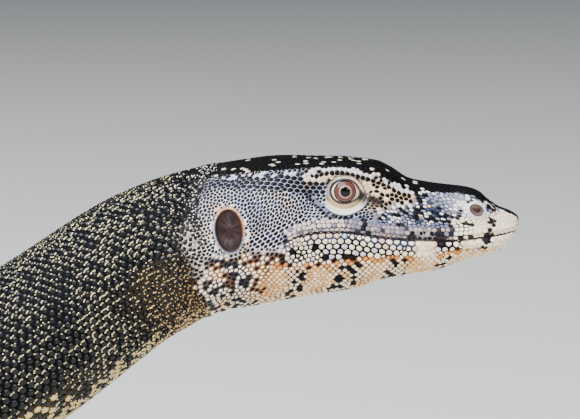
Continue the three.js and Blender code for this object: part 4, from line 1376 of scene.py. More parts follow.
def make_eardrum(name, side):
    """An eardrum: a taut dished membrane with faint rays from the little bone behind it."""
    turns, rings = 96, 20
    share = np.linspace(0.04, 1, rings)[:, None]
    around = circle(turns)
    edge_s, edge_z = ring_place(EAR_HOLE, around, 0)
    s = mix(EAR_HOLE["station"], edge_s, share)
    z = mix(EAR_HOLE["rise"], edge_z, share)
    wave, arch = np.cos(9 * around + 2 * np.sin(3 * around)), np.sin(np.pi * share)
    dish = -1.45 - 0.9 * (1 - share**2) + 0.5 * bell((share - 0.1) / 0.22) + 0.03 * wave * arch
    mottle = 0.5 + 0.5 * wave * arch
    tints = mix(colour(32, 19, 20), colour(66, 44, 42), (0.6 * mottle)[..., None])
    made = side_piece(f"eardrum_membrane_{name}", s, z, side, dish, tints, membrane, closed=True)
    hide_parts(f"eardrum_{name}")


for name, side in SIDES.items():
    for rim in (make_lids(name, side), make_nostril(name, side), make_ear(name, side)):
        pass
    make_eardrum(name, side)

# Claws. Each digit ends in a curved, sideways flattened horn sheath, near-black and worn to brown
# at the point, whose root is sunk in the skin of the digit.
claw_girth = track((0, 2.7), (0.3, 2.2), (0.7, 1.25), (1, 0.3))
claw_rise = track((0, 3.5), (0.35, 4.6), (0.75, 3), (1, 0.5))
CLAW_RINGS = 22
CLAW_SIDES = 16
HORN_DARK = colour(40, 34, 30)
HORN_WORN = colour(116, 92, 66)


def claw_arrays(root, heading, long):
    """A claw: oval rings square to a curve that rises from its root and bends down to its point,
    keeled below, with a single point at either end."""
    share = np.linspace(0, 1, CLAW_RINGS)
    across = np.cross(UP, heading)
    middle = root + heading * (long * share)[:, None]
    middle[:, 2] = claw_rise(share)
    slant = unit(np.gradient(middle, axis=0))
    up = np.cross(slant, across)
    angle = circle(CLAW_SIDES)
    ring_up = np.cos(angle) - 0.12 * np.clip(-np.cos(angle), 0, 1) ** 6
    high = claw_girth(share)[:, None] * ring_up
    aside = claw_girth(share)[:, None] * 0.72 * np.sin(angle) * (1 + 0.1 * np.cos(angle))
    rings = middle[:, None] + high[..., None] * up[:, None] + aside[..., None] * across
    points = np.vstack([rings.reshape(-1, 3), middle[0], middle[-1] + slant[-1] * 0.3])
    points[:, 2] = np.maximum(points[:, 2], 0)
    ring = np.arange(CLAW_SIDES)
    last_ring = ring + (CLAW_RINGS - 1) * CLAW_SIDES
    faces = [grid_faces(CLAW_RINGS, CLAW_SIDES)[:, ::-1],
             pole_faces(len(points) - 2, ring, onward=True),
             pole_faces(len(points) - 1, last_ring)]
    worn = np.append(np.repeat(share, CLAW_SIDES), [0, 1])
    return points, faces, mix(HORN_DARK, HORN_WORN, (worn**2.5)[:, None])


horn = tinted_material("claw_horn", 700, 0.0002, 0.22, 0.36, 0.5)
for name, side, kind, limb in limbs:
    for number, (root, heading) in enumerate(limb["claws"], start=1):
        points, faces, tints = claw_arrays(root + heading * 0.3, heading, kind["claw_length"])
        claw = make_mesh(f"horn_{kind['names'][2]}_{name}_{number}", points, faces)
        set_tint(claw, tints)
        claw.data.materials.append(horn)
        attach(claw, "root")
        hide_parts(f"claw_{kind['names'][2]}_{name}_{number}")

# Scales of the head. Small plates and beads that lie edge to edge, each bounded half way to its
# neighbours: rows of plates along the lips and jaw, one row of squares over the eye, and elsewhere
# a scattered, settled paving, finest on the cheek and round the ear.
CHUNK = 512
NEAR_COUNT = 14
FAR = 1e3
chance_source = np.random.default_rng(20261125)


def joined(rows):
    """Rows of arrays made into one array for each column."""
    return [np.concatenate(column) for column in zip(*rows)]


def running(steps):
    """The running total of steps, from nought."""
    return np.append(0, np.cumsum(steps))


def line_lengths(points):
    """How far along a line of points each of them lies."""
    return running(np.linalg.norm(np.diff(points, axis=0), axis=1))


def outline_lengths(s, turns):
    """How far round the section's outline at one station each of the turns lies."""
    return line_lengths(section_point(np.full(len(turns), s), turns % TURNS)[0])


def close_pairs(points, reach):
    """Every pair of points nearer than the first one's reach, with their distance: points are
    sorted along X and each chunk is compared with the window that can hold its neighbours."""
    order = np.argsort(points[:, 0])
    ordered, far = points[order].astype(np.float32), reach[order].astype(np.float32)
    x = ordered[:, 0]
    found = []
    for start in range(0, len(points), CHUNK):
        stop = min(start + CHUNK, len(points))
        low = np.searchsorted(x, x[start] - far.max())
        high = np.searchsorted(x, x[stop - 1] + far.max())
        apart = np.linalg.norm(ordered[start:stop, None] - ordered[None, low:high], axis=2)
        first, second = np.nonzero(apart < far[start:stop, None])
        real = first + start != second + low
        first, second = first[real], second[real]
        found.append((order[first + start], order[second + low], apart[first, second]))
    return joined(found)


def neighbours(points, reach):
    """For each point the numbers of its nearest others, -1 where there are fewer."""
    first, second, apart = close_pairs(points, reach)
    ranked = np.lexsort((apart, first))
    first, second = first[ranked], second[ranked]
    rank = np.arange(len(first)) - np.searchsorted(first, first)
    kept = rank < NEAR_COUNT
    near = np.full((len(points), NEAR_COUNT), -1)
    near[first[kept], rank[kept]] = second[kept]
    return near


def hide_at(s, u):
    """The hide's own surface under the scales, with its fillets to the limbs."""
    points = trunk_point(s, u, -scale_depth(s))
    if s.max() < 150:
        return points
    return swell_trunk(points, s)


def trunk_places(s, u):
    """Roots, ways out, ways back along the body and across it, and millimetres to a unit of turn,
    from differences of the hide's surface."""
    root = hide_at(s, u)
    back = hide_at(np.minimum(s + 0.3, LENGTH), u) - hide_at(np.maximum(s - 0.3, 0), u)
    across = (hide_at(s, u + 0.03) - hide_at(s, u - 0.03)) / 0.06
    per_turn = np.maximum(np.linalg.norm(across, axis=1), 1e-3)
    normal = unit(np.cross(across, back), 1e-9)
    back = unit(back)
    across = np.cross(back, normal)
    return {"root": root, "normal": normal, "back": back, "across": across, "along": back,
            "around": across, "per_turn": per_turn}


def lean(places, degrees, ratio):
    """Turns each scale's own axes from back towards across by its lean and makes one longer and
    the other shorter, so that its outline is drawn out that way."""
    turn = np.radians(degrees)[:, None]
    longer = np.sqrt(ratio)[:, None]
    back, across = places["back"], places["across"]
    places["back"] = (back * np.cos(turn) + across * np.sin(turn)) * longer
    places["across"] = (across * np.cos(turn) - back * np.sin(turn)) / longer


def cell_reach(places, long, broad, fill, sides, sharp, walls=None):
    """How far each scale reaches in evenly spread directions of its own axes: to the lines that
    part it from its neighbours in the shares of their sizes, and to an oval that rounds its
    corners, joined as a power mean so that no edge is passed."""
    root, near = places["root"], places["near"]
    offsets = root[near] - root[:, None]
    size = np.sqrt(long * broad)
    share = size[:, None] / (size[:, None] + size[near])
    if walls is not None:
        offsets = np.concatenate([offsets, walls - root[:, None]], axis=1)
        near = np.concatenate([near, np.zeros(walls.shape[:2], int)], axis=1)
        share = np.concatenate([share, np.full(walls.shape[:2], 0.5)], axis=1)
    back, across = places["back"], places["across"]
    x = np.einsum("nkc,nc->nk", offsets, back / (back**2).sum(axis=1, keepdims=True))
    y = np.einsum("nkc,nc->nk", offsets, across / (across**2).sum(axis=1, keepdims=True))
    x = np.where(near < 0, FAR, x)
    angle = circle(sides)
    toward = x[..., None] * np.cos(angle) + y[..., None] * np.sin(angle)
    edge = (share * (x**2 + y**2))[..., None] / np.maximum(toward, 1e-2)
    oval = fill / np.hypot(np.cos(angle) / long[:, None], np.sin(angle) / broad[:, None])
    closeness = (edge ** -sharp).sum(axis=1) + oval ** -sharp
    return closeness ** (-1 / sharp)


def centroids(reach):
    """The middle of each outline, forward and aside of its root."""
    angle = circle(reach.shape[1])
    area = (reach**2).sum(axis=1)
    return ((reach**3 * np.cos(angle)).sum(axis=1) / area / 1.5,
            (reach**3 * np.sin(angle)).sum(axis=1) / area / 1.5)


def dome_arrays(places, reach, height, profile, scale_tint, net_tint, unwrap):
    """Scales as domes: a middle point and rings at shares of the reach, each at its share of the
    height, the last below the skin. Returns points, tints and unwrap places, scale by scale."""
    sides = reach.shape[1]
    angle = circle(sides)
    spread = (np.cos(angle)[:, None] * places["back"][:, None]
              + np.sin(angle)[:, None] * places["across"][:, None])
    points, tints, patches = [], [], []
    for share, rise, rim in profile:
        out = places["normal"] * (height * rise)[:, None]
        tint = mix(scale_tint, net_tint, rim)
        if share == 0:
            points.append((places["root"] + out)[:, None])
            tints.append(tint[:, None])
            patches.append(unwrap[:, None])
            continue
        points.append((places["root"] + out)[:, None] + spread * (reach * share)[..., None])
        tints.append(np.repeat(tint[:, None], sides, axis=1))
        ring = np.stack([np.cos(angle), np.sin(angle)], axis=1) * share * PATCH / 2
        patches.append(unwrap[:, None] + ring)
    points = np.concatenate(points, axis=1)
    points[..., 2] = np.maximum(points[..., 2], 0)
    return points, np.concatenate(tints, axis=1), np.concatenate(patches, axis=1)


PATCH = 0.003
PLATE = [(0, 1, 0), (0.74, 0.93, 0), (0.94, 0.5, 0.03), (1, -0.35, 0.6)]
BEAD = [(0, 1, 0), (0.4, 0.85, 0), (0.77, 0.46, 0), (1, -0.15, 0.1)]
SMALL = [(0, 1, 0), (0.86, 0.6, 0), (1, -0.2, 0.1)]
GRANULE = [(0, 1, 0), (1, -0.8, 0.2)]


def dome_faces(count, sides, rings):
    """Three-sided faces round each dome's middle and four-sided ones between its rings."""
    step = np.arange(sides)
    following = (step + 1) % sides
    start = (np.arange(count) * (1 + sides * rings))[:, None, None]
    cap = np.stack([0 * step, 1 + following, 1 + step], axis=1)
    bands = [np.stack([1 + ring * sides + step, 1 + ring * sides + following,
                       1 + (ring + 1) * sides + following, 1 + (ring + 1) * sides + step], axis=1)
             for ring in range(rings - 1)]
    faces = [(start + cap).reshape(-1, 3)]
    if bands:
        faces.append((start + np.concatenate(bands)).reshape(-1, 4))
    return faces


def coat_piece(name, groups, material):
    """One object of many scales. Each group holds scales of one build: points, tints and patches
    by scale, and the build's counts of sides and rings."""
    points, tints, patches, faces, first = [], [], [], [], 0
    for group_points, group_tints, group_patches, sides, rings in groups:
        points.append(group_points.reshape(-1, 3))
        tints.append(group_tints.reshape(-1, group_tints.shape[-1]))
        patches.append(group_patches.reshape(-1, 2))
        faces += [first + part for part in dome_faces(len(group_points), sides, rings)]
        first += len(points[-1])
    made = make_mesh(name, np.concatenate(points), faces)
    set_tint(made, np.concatenate(tints))
    layer = made.data.uv_layers.new(name="OFBake")
    corner = np.empty(len(made.data.loops), np.int32)
    made.data.loops.foreach_get("vertex_index", corner)
    layer.data.foreach_set("uv", np.concatenate(patches)[corner].astype(np.float32).ravel())
    made.data.materials.append(material)
    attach(made, "root")
    return made


def head_spacing(s, z, fold):
    """How far apart the head's scales stand, in millimetres: graded behind the ear and the crown
    from the cheek's to those of the neck's rows."""
    size = np.full(len(s), 1.3)
    for spacing, share in (
        (1.8, smooth_step(level(s) - z, 1, 3) * smooth_step(s, 20, 40)),
        (1.36, 1 - smooth_step(s, 49, 57)),
        (1.45, inside(z, stripe_foot(s), stripe_top(s) + 2) * smooth_step(s, 70, 74)),
        (1.6, inside(s, 40, 53, 1) * inside(z, 7, 15.5)),
        (1.7, smooth_step(z - crown_edge(s), -0.2, 0.4)),
        (1.0, 1 - smooth_step(hole_distance(EAR_HOLE, s, z), 2.4, 4.4)),
        (1.15, 1 - smooth_step(lid_distance(s, z), 2, 3.5)),
        (1.75, smooth_step(-z, 5, 9) * smooth_step(s, 80, 88)),
        (1.8, smooth_step(fold, 6.5, 7.2)),
    ):
        size = mix(size, spacing, share)
    row = mix(2.55, 1.95, smooth_step(fold, 4.1, 5))
    return mix(size, row, smooth_step(s - neck_line(fold), -3, 15))


def rows_line(fold):
    """The station at which the neck's ordered rows of beads begin."""
    return neck_line(fold) + 17


def even_turns(s, spacing, first_turn, last_turn, phase):
    """Turns spaced evenly along the section's outline between two turns."""
    fine = np.linspace(first_turn, last_turn, 120)
    measure = outline_lengths(s, fine)
    count = max(int(round(measure[-1] / spacing)), 1)
    return np.interp((np.arange(count) + phase) * measure[-1] / count, measure, fine)


def clear_of_rims(s, z, margin):
    """True where a place lies outside the lids, the nostril's rim and the ear's rim."""
    return ((lid_distance(s, z) > margin) & (hole_distance(NOSTRIL_HOLE, s, z) > 1.1 + margin)
            & (hole_distance(EAR_HOLE, s, z) > 0.9 + margin))


HEAD_END = 144
LIP_ROWS = [(0.95, 1.9, 1.7), (2.6, 1.8, 1.6), (4.15, 1.7, 1.55)]
JAW_ROWS = [(-1.2, 2.75, 2.1), (-3.25, 2.75, 2.1), (-5.3, 2.75, 2.05), (-7.3, 2.75, 2.05),
            (-9.3, 2.6, 2.0), (-11.3, 2.6, 2.0)]
THROAT_ROWS = 7
TRIAL_STEP = 0.6


def placed_rows():
    """The head's ordered scales on the left side: station, turn and size along and across."""
    rows = []

    def add(s, z, long, broad):
        rows.append((s, turn_at(s, z), np.full(len(s), long), np.full(len(s), broad)))

    for number, (rise, long, broad) in enumerate(LIP_ROWS + JAW_ROWS):
        end = 88 if rise > 0 else 84 - 1.5 * number
        s = np.arange(3.2 + 0.5 * long * (number % 2), end, long)
        z = level(s) + rise
        kept = z > throat_fold(s) + 0.9 if rise < 0 else clear_of_rims(s, z, 0.5)
        shaken = 0.16 * wander(s * 1.9, z + 3 * number, 1.1)
        add((s + 2 * shaken)[kept], (z + shaken)[kept], long, broad)
    s = np.arange(43, 77, 1.9)
    add(s, square_row(s), 1.9, 1.6)
    add(s + 0.95, square_row(s + 0.95) + 1.4, 1.8, 1.2)
    for number in range(THROAT_ROWS):
        s = np.arange(12 + 1.1 * (number % 2), 96, 2.2)
        turn = turn_at(s, throat_fold(s))
        outline = section_point(s, turn)[0]
        below = section_point(s, np.minimum(turn + 0.1, BELLY_TURN))[0]
        per_turn = np.linalg.norm(below - outline, axis=1) / 0.1
        turn = turn + (0.9 + 1.35 * number) / per_turn
        kept = turn < 7.6
        rows.append((s[kept], turn[kept], np.full(kept.sum(), 2.2), np.full(kept.sum(), 1.3)))
    for number in range(4):
        s = np.arange(73 + 1.1 * (number % 2), 112, 2.3)
        z = stripe_foot(s) + 0.8 + 1.45 * number
        kept = (z < stripe_top(s) + 1.3) & clear_of_rims(s, z, 0.6)
        add(s[kept], z[kept], 2.3, 1.45)
    for number in range(7):
        s = np.arange(71 + number % 2, 100, 2.0)
        z = 1.5 * number - 3.2 - FAN_FALL * (s - FAN_AT)
        kept = (z > -6) & ((s > 87) | (z > level(s) + 5.6)) & (z < stripe_foot(s) - 0.8)
        kept &= clear_of_rims(s, z, 0.8)
        add(s[kept], z[kept], 2.0, 1.35)
    for turn in (0.0, BELLY_TURN):
        s = np.arange(1.6, rows_line(np.array(turn)) - 0.5, 1.9)
        rows.append((s, np.full(len(s), turn), np.full(len(s), 2.0), np.full(len(s), 2.0)))
    return joined(rows)


def scattered(fixed_s, fixed_u, fixed_size):
    """Places between the ordered scales: from a fine shaken grid of candidates, each in the order
    of its own lot is kept if no kept one stands nearer than their mean spacing allows."""
    side_range = (MIDLINE_GAP, BELLY_TURN - MIDLINE_GAP)
    rows = [(np.full(len(turns), s), turns)
            for s in np.arange(1.0, HEAD_END, TRIAL_STEP)
            for turns in [even_turns(s, TRIAL_STEP, *side_range, chance_source.random())]]
    s, u = joined(rows)
    s = np.clip(s + chance_source.uniform(-TRIAL_STEP / 2, TRIAL_STEP / 2, len(s)), 0.7, HEAD_END)
    u = np.clip(u + chance_source.uniform(-0.04, 0.04, len(s)), 0.02, BELLY_TURN - 0.02)
    z = section_point(s, u)[0][:, 1]
    free = clear_of_rims(s, z, 0.45) & (s < rows_line(u))
    s, u, z = s[free], u[free], z[free]
    size = head_spacing(s, z, u)
    all_s, all_u = np.append(fixed_s, s), np.append(fixed_u, u)
    all_size = np.append(fixed_size, size)
    lot = np.append(-np.ones(len(fixed_s)), chance_source.random(len(s)))
    places = trunk_places(all_s, all_u)
    build = head_build(all_s, section_point(all_s, all_u)[0][:, 1], all_u)
    lean(places, build["lean"], build["stretch"])
    first, second, _ = close_pairs(places["root"], np.maximum(1.4 * all_size, 1.8))
    offset = places["root"][second] - places["root"][first]
    apart = np.hypot(*[np.sum(offset * axis[first], axis=1) / (axis[first]**2).sum(axis=1)
                       for axis in (places["back"], places["across"])])
    ordered = np.minimum(first, second) < len(fixed_s)
    fixed = all_size[np.minimum(first, second)]
    clash = apart < np.where(ordered, 0.66 * fixed, 0.38 * (all_size[first] + all_size[second]))
    first, second = first[clash], second[clash]
    undecided = np.ones(len(all_s), bool)
    kept = np.zeros(len(all_s), bool)
    kept[:len(fixed_s)], undecided[:len(fixed_s)] = True, False
    beaten = np.isin(np.arange(len(all_s)), second[kept[first]])
    undecided &= ~beaten
    while undecided.any():
        live = undecided[first] & undecided[second] & (lot[second] < lot[first])
        waiting = np.isin(np.arange(len(all_s)), first[live])
        chosen = undecided & ~waiting
        kept |= chosen
        undecided &= ~chosen & ~np.isin(np.arange(len(all_s)), second[chosen[first]])
    return np.flatnonzero(kept)[len(fixed_s):] - len(fixed_s), s, u, size


def head_walls(s, u, side):
    """For each scale the mirror image of its root in the mouth's line and in the nearest rim, so
    that it ends there as it would at a neighbour."""
    z = section_point(s, u)[0][:, 1]
    walls = np.full((len(s), 3, 3), FAR)
    from_mouth = z - level(s)
    close = (np.abs(from_mouth) < 3) & (s > 2.5) & (s < 90)
    mirrored = level(s) - from_mouth + 0.3 * np.sign(from_mouth)
    walls[close, 0] = side_point(s[close], mirrored[close], side)
    for k, hole, gap in ((1, NOSTRIL_HOLE, hole_distance(NOSTRIL_HOLE, s, z) - 0.9),
                         (2, EAR_HOLE, hole_distance(EAR_HOLE, s, z) - 0.75),
                         (1, EYE_HOLE, lid_distance(s, z) + 0.3)):
        close = (gap > 0) & (gap < 3)
        toward = np.stack([hole["station"] - s[close], hole["rise"] - z[close]], axis=1)
        shift = unit(toward) * 2 * gap[close, None]
        walls[close, k] = side_point(s[close] + shift[:, 0], z[close] + shift[:, 1], side)
    return walls


def settle(s, u, long, broad, movable, rounds):
    """Moves scattered scales to the middles of their outlines, a few times over."""
    for _ in range(rounds):
        places = trunk_places(s, u)
        build = head_build(s, section_point(s, u)[0][:, 1], u)
        lean(places, build["lean"], build["stretch"])
        places["near"] = neighbours(places["root"], 2.6 * np.sqrt(long * broad))
        walls = head_walls(s, u, SIDES["left"])
        ahead, aside = centroids(cell_reach(places, long, broad, 0.8, 12, 8.0, walls))
        shift = 0.8 * (places["back"] * ahead[:, None] + places["across"] * aside[:, None])
        back, over = (np.sum(shift * places[key], axis=1) for key in ("along", "around"))
        s = np.clip(s + np.where(movable, back, 0), 0.6, HEAD_END)
        u = np.clip(u + np.where(movable, over / places["per_turn"], 0), 0, BELLY_TURN)
    return s, u


row_s, row_u, row_long, row_broad = placed_rows()
chosen, loose_s, loose_u, loose_size = scattered(row_s, row_u, np.sqrt(row_long * row_broad))
head_s = np.append(row_s, loose_s[chosen])
head_u = np.append(row_u, loose_u[chosen])
head_long = np.append(row_long, loose_size[chosen])
head_broad = np.append(row_broad, loose_size[chosen])
is_loose = np.arange(len(head_s)) >= len(row_s)
head_s, head_u = settle(head_s, head_u, head_long, head_broad, is_loose, 6)
head_chance = chance_source.random(len(head_s))

THROAT_TURN = 4.6
nape_pitch = track((108, 2.5), (150, 3.0), (200, 3.4), (250, 3.6))
throat_pitch = track((108, 1.8), (145, 2.1), (180, 2.9), (250, 3.5))
NECK_ZONES = [(-THROAT_TURN, THROAT_TURN, 38, nape_pitch),
              (THROAT_TURN, TURNS - THROAT_TURN, 40, throat_pitch)]
NECK_END = 244


def neck_rows():
    """Seeds of the neck's beads: rows that run the length of the neck, as many in front as behind,
    every other one shifted by half a bead, finer under the throat than above."""
    columns = []
    for first_turn, last_turn, rows, pitch in NECK_ZONES:
        fine = np.linspace(108, NECK_END, 2000)
        count = running(np.diff(fine) / pitch(fine[1:]))
        turn = np.linspace(first_turn, last_turn, 121)
        for number in np.arange(0, count[-1], 0.5):
            s = np.interp(number, count, fine)
            odd = int(round(number * 2)) % 2
            measure = outline_lengths(s, turn)
            place = (np.arange(odd, rows, 2) + 0.5) * measure[-1] / rows
            turns = np.interp(place, measure, turn) % TURNS
            columns.append((np.full(len(turns), s), turns))
    s, u = joined(columns)
    fold = fold_of(u)
    s = s + 0.5 * wander(fold * 6, s, 5)
    kept = (s > rows_line(fold) + 1.2) & (s < NECK_END)
    return s[kept], u[kept]


neck_s, neck_u = neck_rows()
scale_finish = tinted_material("scales", 2600, 0.00005, 0.14, 0.26, 0.55, 0.05)


def off_midline(fold):
    """True off the midlines of back and belly, where a scale's mirror image is another scale."""
    return (fold > 0.01) & (fold < BELLY_TURN - 0.01)


def in_unwrap(share):
    """A share of a piece's length or round as a place in the unwrap, clear of its edges."""
    return 0.02 + 0.96 * share


def head_scales(name, side):
    """One side's scales, its turns mirrored for the right, in plates, small scales and beads. The
    first of the neck's rows are neighbours too, so that the two pieces meet without a gap."""
    border = (neck_s < HEAD_END + 6) & ((neck_u < BELLY_TURN) == (side > 0))
    fold = np.append(head_u, fold_of(neck_u)[border])
    s = np.append(head_s, neck_s[border])
    u = fold if side > 0 else (TURNS - fold) % TURNS
    pitch = head_spacing(s, np.zeros(len(s)), fold)[len(head_s):]
    long, broad = np.append(head_long, pitch), np.append(head_broad, pitch)
    own = np.arange(len(s)) < len(head_s)
    if side < 0:
        own &= off_midline(fold)
    z = section_point(s, fold)[0][:, 1]
    build = head_build(s, z, fold)
    places = trunk_places(s, u)
    lean(places, side * build["lean"], build["stretch"])
    size = np.sqrt(long * broad)
    places["near"] = neighbours(places["root"], 2.6 * size)
    walls = head_walls(s, fold, side)
    tints = [np.column_stack([tint, build["gloss"]])
             for tint in trunk_tints(s, u, np.append(head_chance, np.zeros(border.sum())))]
    unwrap = np.stack([in_unwrap(s / HEAD_END), in_unwrap(fold / BELLY_TURN)], axis=1)
    bead = s > neck_line(fold) - 2
    plate = ~bead & ((size > 1.9) | ((z < -2) & (size > 1.5)))
    groups = []
    for chosen, sides, profile, sharp in ((plate, 10, PLATE, 18.0), (bead, 10, BEAD, 8.0),
                                          (~plate & ~bead, 12, SMALL, 14.0)):
        picked = chosen & own
        reach = cell_reach(places, long, broad, 0.72, sides, sharp, walls) - build["gap"][:, None]
        part = {key: value[picked] for key, value in places.items()}
        arrays = dome_arrays(part, np.maximum(reach[picked], 0.2), build["height"][picked],
                             profile, tints[0][picked], tints[1][picked], unwrap[picked])
        groups.append((*arrays, sides, len(profile) - 1))
    return coat_piece(f"head_scales_{name}", groups, scale_finish)


for name, side in SIDES.items():
    head_scales(name, side)

# Scales of the neck, trunk and tail. The neck carries glossy beads in staggered rows, each ringed
# by granules that are yellow mostly above and below it; behind the shoulders small oval scales lie
# in rings round the back and flanks, broad plates under the belly, and long ones on the tail.
along_pitch = track((116, 2.2), (130, 2.75), (170, 3.1), (225, 3.5), (262, 2.7), (640, 2.6),
                    (760, 3.2), (1100, 3.4), (LENGTH, 2.2))
back_pitch = track((116, 2.0), (130, 2.35), (170, 2.7), (225, 3.0), (262, 2.3), (640, 2.2),
                   (760, 2.1), (1100, 1.9), (LENGTH, 1.5))
BELLY_PITCH = 3.3
TRUNK_END = 1549


def around_pitch(s, fold):
    """Spacing round the body: small beads low on the neck's front, broad plates on the belly."""
    front = 1 - smooth_step(s, 142, 172)
    pitch = mix(back_pitch(s), 1.75, front * smooth_step(fold, 4.0, 4.8))
    belly = smooth_step(s, 200, 250) * (1 - smooth_step(s, 640, 720))
    return mix(pitch, BELLY_PITCH, belly * smooth_step(fold, 5.9, 6.5))


def ring_stations(start, end):
    """Stations of the rings of scales, each a pitch behind the last, worked out from the running
    count of pitches."""
    fine = np.linspace(start, end, 4000)
    count = running(np.diff(fine) / along_pitch((fine[1:] + fine[:-1]) / 2))
    return np.interp(np.arange(int(count[-1]) + 1), count, fine)


def trunk_rings():
    """Seeds of the trunk's and tail's scales: each ring holds as many as fit its outline, spaced
    evenly by the pitch, and every other ring is shifted by half a scale."""
    fine = np.linspace(0, TURNS, 161)
    rings = [(neck_s, neck_u)]
    for number, s in enumerate(ring_stations(NECK_END + 1.2, TRUNK_END)):
        stations = np.full(len(fine), s)
        outline = section_point(stations, fine % TURNS)[0]
        middle = (fine[1:] + fine[:-1]) / 2
        pitch = around_pitch(stations[1:], fold_of(middle))
        steps = np.linalg.norm(np.diff(outline, axis=0), axis=1) / pitch
        measure = running(steps)
        count = max(int(round(measure[-1])), 5)
        place = (np.arange(count) + 0.5 * (number % 2)) * measure[-1] / count
        turns = np.interp(place, measure, fine) % TURNS
        rings.append((np.full(count, s), turns))
    s, u = joined(rings)
    shaken = chance_source.uniform(-1, 1, len(s)) * 0.07 * along_pitch(s)
    return np.where(s < NECK_END, s, s + shaken), u


HIDDEN_REACH = 90


def shown(s, u):
    """Which seeds lie clear of the floor and outside the thighs and upper arms."""
    points = hide_at(s, u)
    free = points[:, 2] > 0.35
    for _, _, kind, limb in limbs:
        close = np.flatnonzero(np.abs(s - kind["station"]) < HIDDEN_REACH)
        free[close] &= stretch_distance(limb["upper"], points[close]) > -0.4
    return free


body_s, body_u = trunk_rings()
free = shown(body_s, body_u)
body_s, body_u = body_s[free], body_u[free]
guest = head_s > neck_line(head_u) - 3
twin = guest & off_midline(head_u)
is_guest = np.append(np.zeros(len(body_s), bool), np.ones(guest.sum() + twin.sum(), bool))
body_s = np.concatenate([body_s, head_s[guest], head_s[twin]])
body_u = np.concatenate([body_u, head_u[guest], TURNS - head_u[twin]])
body_fold = fold_of(body_u)
body_chance = chance_source.random(len(body_s))
body_long = along_pitch(body_s)
body_broad = around_pitch(body_s, body_fold)
low_throat = (body_s < NECK_END) & (body_fold > THROAT_TURN)
body_long = np.where(low_throat, throat_pitch(body_s), body_long)
before_rows = body_s < rows_line(body_fold)
pitch = head_spacing(body_s, np.zeros(len(body_s)), body_fold)
body_long, body_broad = (np.where(before_rows, pitch, size) for size in (body_long, body_broad))
body_places = trunk_places(body_s, body_u)
body_places["near"] = neighbours(body_places["root"], 2.4 * np.maximum(body_long, body_broad))
neck_like = body_s < NECK_END
lean(body_places, np.where(body_u < BELLY_TURN, 20, -20) * neck_like, 1 + 0.22 * neck_like)
body_gloss = mix(0.5, 1, 1 - smooth_step(body_s, 225, 262))
body_tint, body_net = (np.column_stack([tint, body_gloss])
                       for tint in trunk_tints(body_s, body_u, body_chance))
GRANULE_ANGLES = np.radians([14, 38, 66, 90, 114, 142, 166])


def trunk_unwrap(s, u, start, end):
    return np.stack([in_unwrap((s - start) / (end - start)), in_unwrap(u / TURNS)], axis=1)


def body_scales(name, picked, sides, profile, gap, height, fill, sharp):
    """A coat piece of the picked seeds, built alike."""
    reach = cell_reach(body_places, body_long, body_broad, fill, sides, sharp)
    part = {key: value[picked] for key, value in body_places.items()}
    s = body_s[picked]
    unwrap = trunk_unwrap(s, body_u[picked], s.min(), s.max() + 0.01)
    arrays = dome_arrays(part, np.maximum(reach[picked] - gap, 0.25), height[picked], profile,
                         body_tint[picked], body_net[picked], unwrap)
    return coat_piece(name, [(*arrays, sides, len(profile) - 1)], scale_finish)


def granule_piece():
    """The granules between the neck's beads: one half of every bead's outline carries them, so that
    each line between two beads has a single row."""
    picked = (body_s < NECK_END) & (body_s > neck_line(body_fold) - 1)
    sides = 36
    reach = cell_reach(body_places, body_long, body_broad, 0.62, sides, 6.0)[picked]
    part = {key: value[picked] for key, value in body_places.items()}
    s, u, own = body_s[picked], body_u[picked], body_chance[picked]
    along, around_it = (part[key] for key in ("along", "around"))
    seeds = []
    for angle in GRANULE_ANGLES:
        turn = angle + chance_source.uniform(-0.12, 0.12, len(s))
        column = np.round(turn / (2 * np.pi) * sides).astype(int) % sides
        far = reach[np.arange(len(s)), column]
        shift = (part["back"] * (far * np.cos(turn))[:, None]
                 + part["across"] * (far * np.sin(turn))[:, None])
        seeds.append((s + np.sum(shift * along, axis=1),
                      (u + np.sum(shift * around_it, axis=1) / part["per_turn"]) % TURNS,
                      np.abs(np.sin(turn)), own))
    s, u, upright, own = joined(seeds)
    places = trunk_places(s, u)
    chance = chance_source.random(len(s))
    scales, net = granule_tints(s, u, upright, chance, own)
    fold = fold_of(u)
    pale_zone = smooth_step(fold, 2.4, 4.2) * (1 - smooth_step(s, 120, 150))
    long = chance_source.uniform(0.55, 0.76, len(s)) * mix(1, 0.62, pale_zone)
    angle = circle(6)
    reach = 1 / np.hypot(np.cos(angle) / long[:, None], np.sin(angle) / (0.66 * long[:, None]))
    arrays = dome_arrays(places, reach, np.full(len(s), 0.5), GRANULE, scales, net,
                         trunk_unwrap(s, u, s.min(), s.max() + 0.01))
    coat_piece("neck_granules", [(*arrays, 6, 1)], granule_finish)


GRANULE_YELLOW = colour(252, 232, 172)


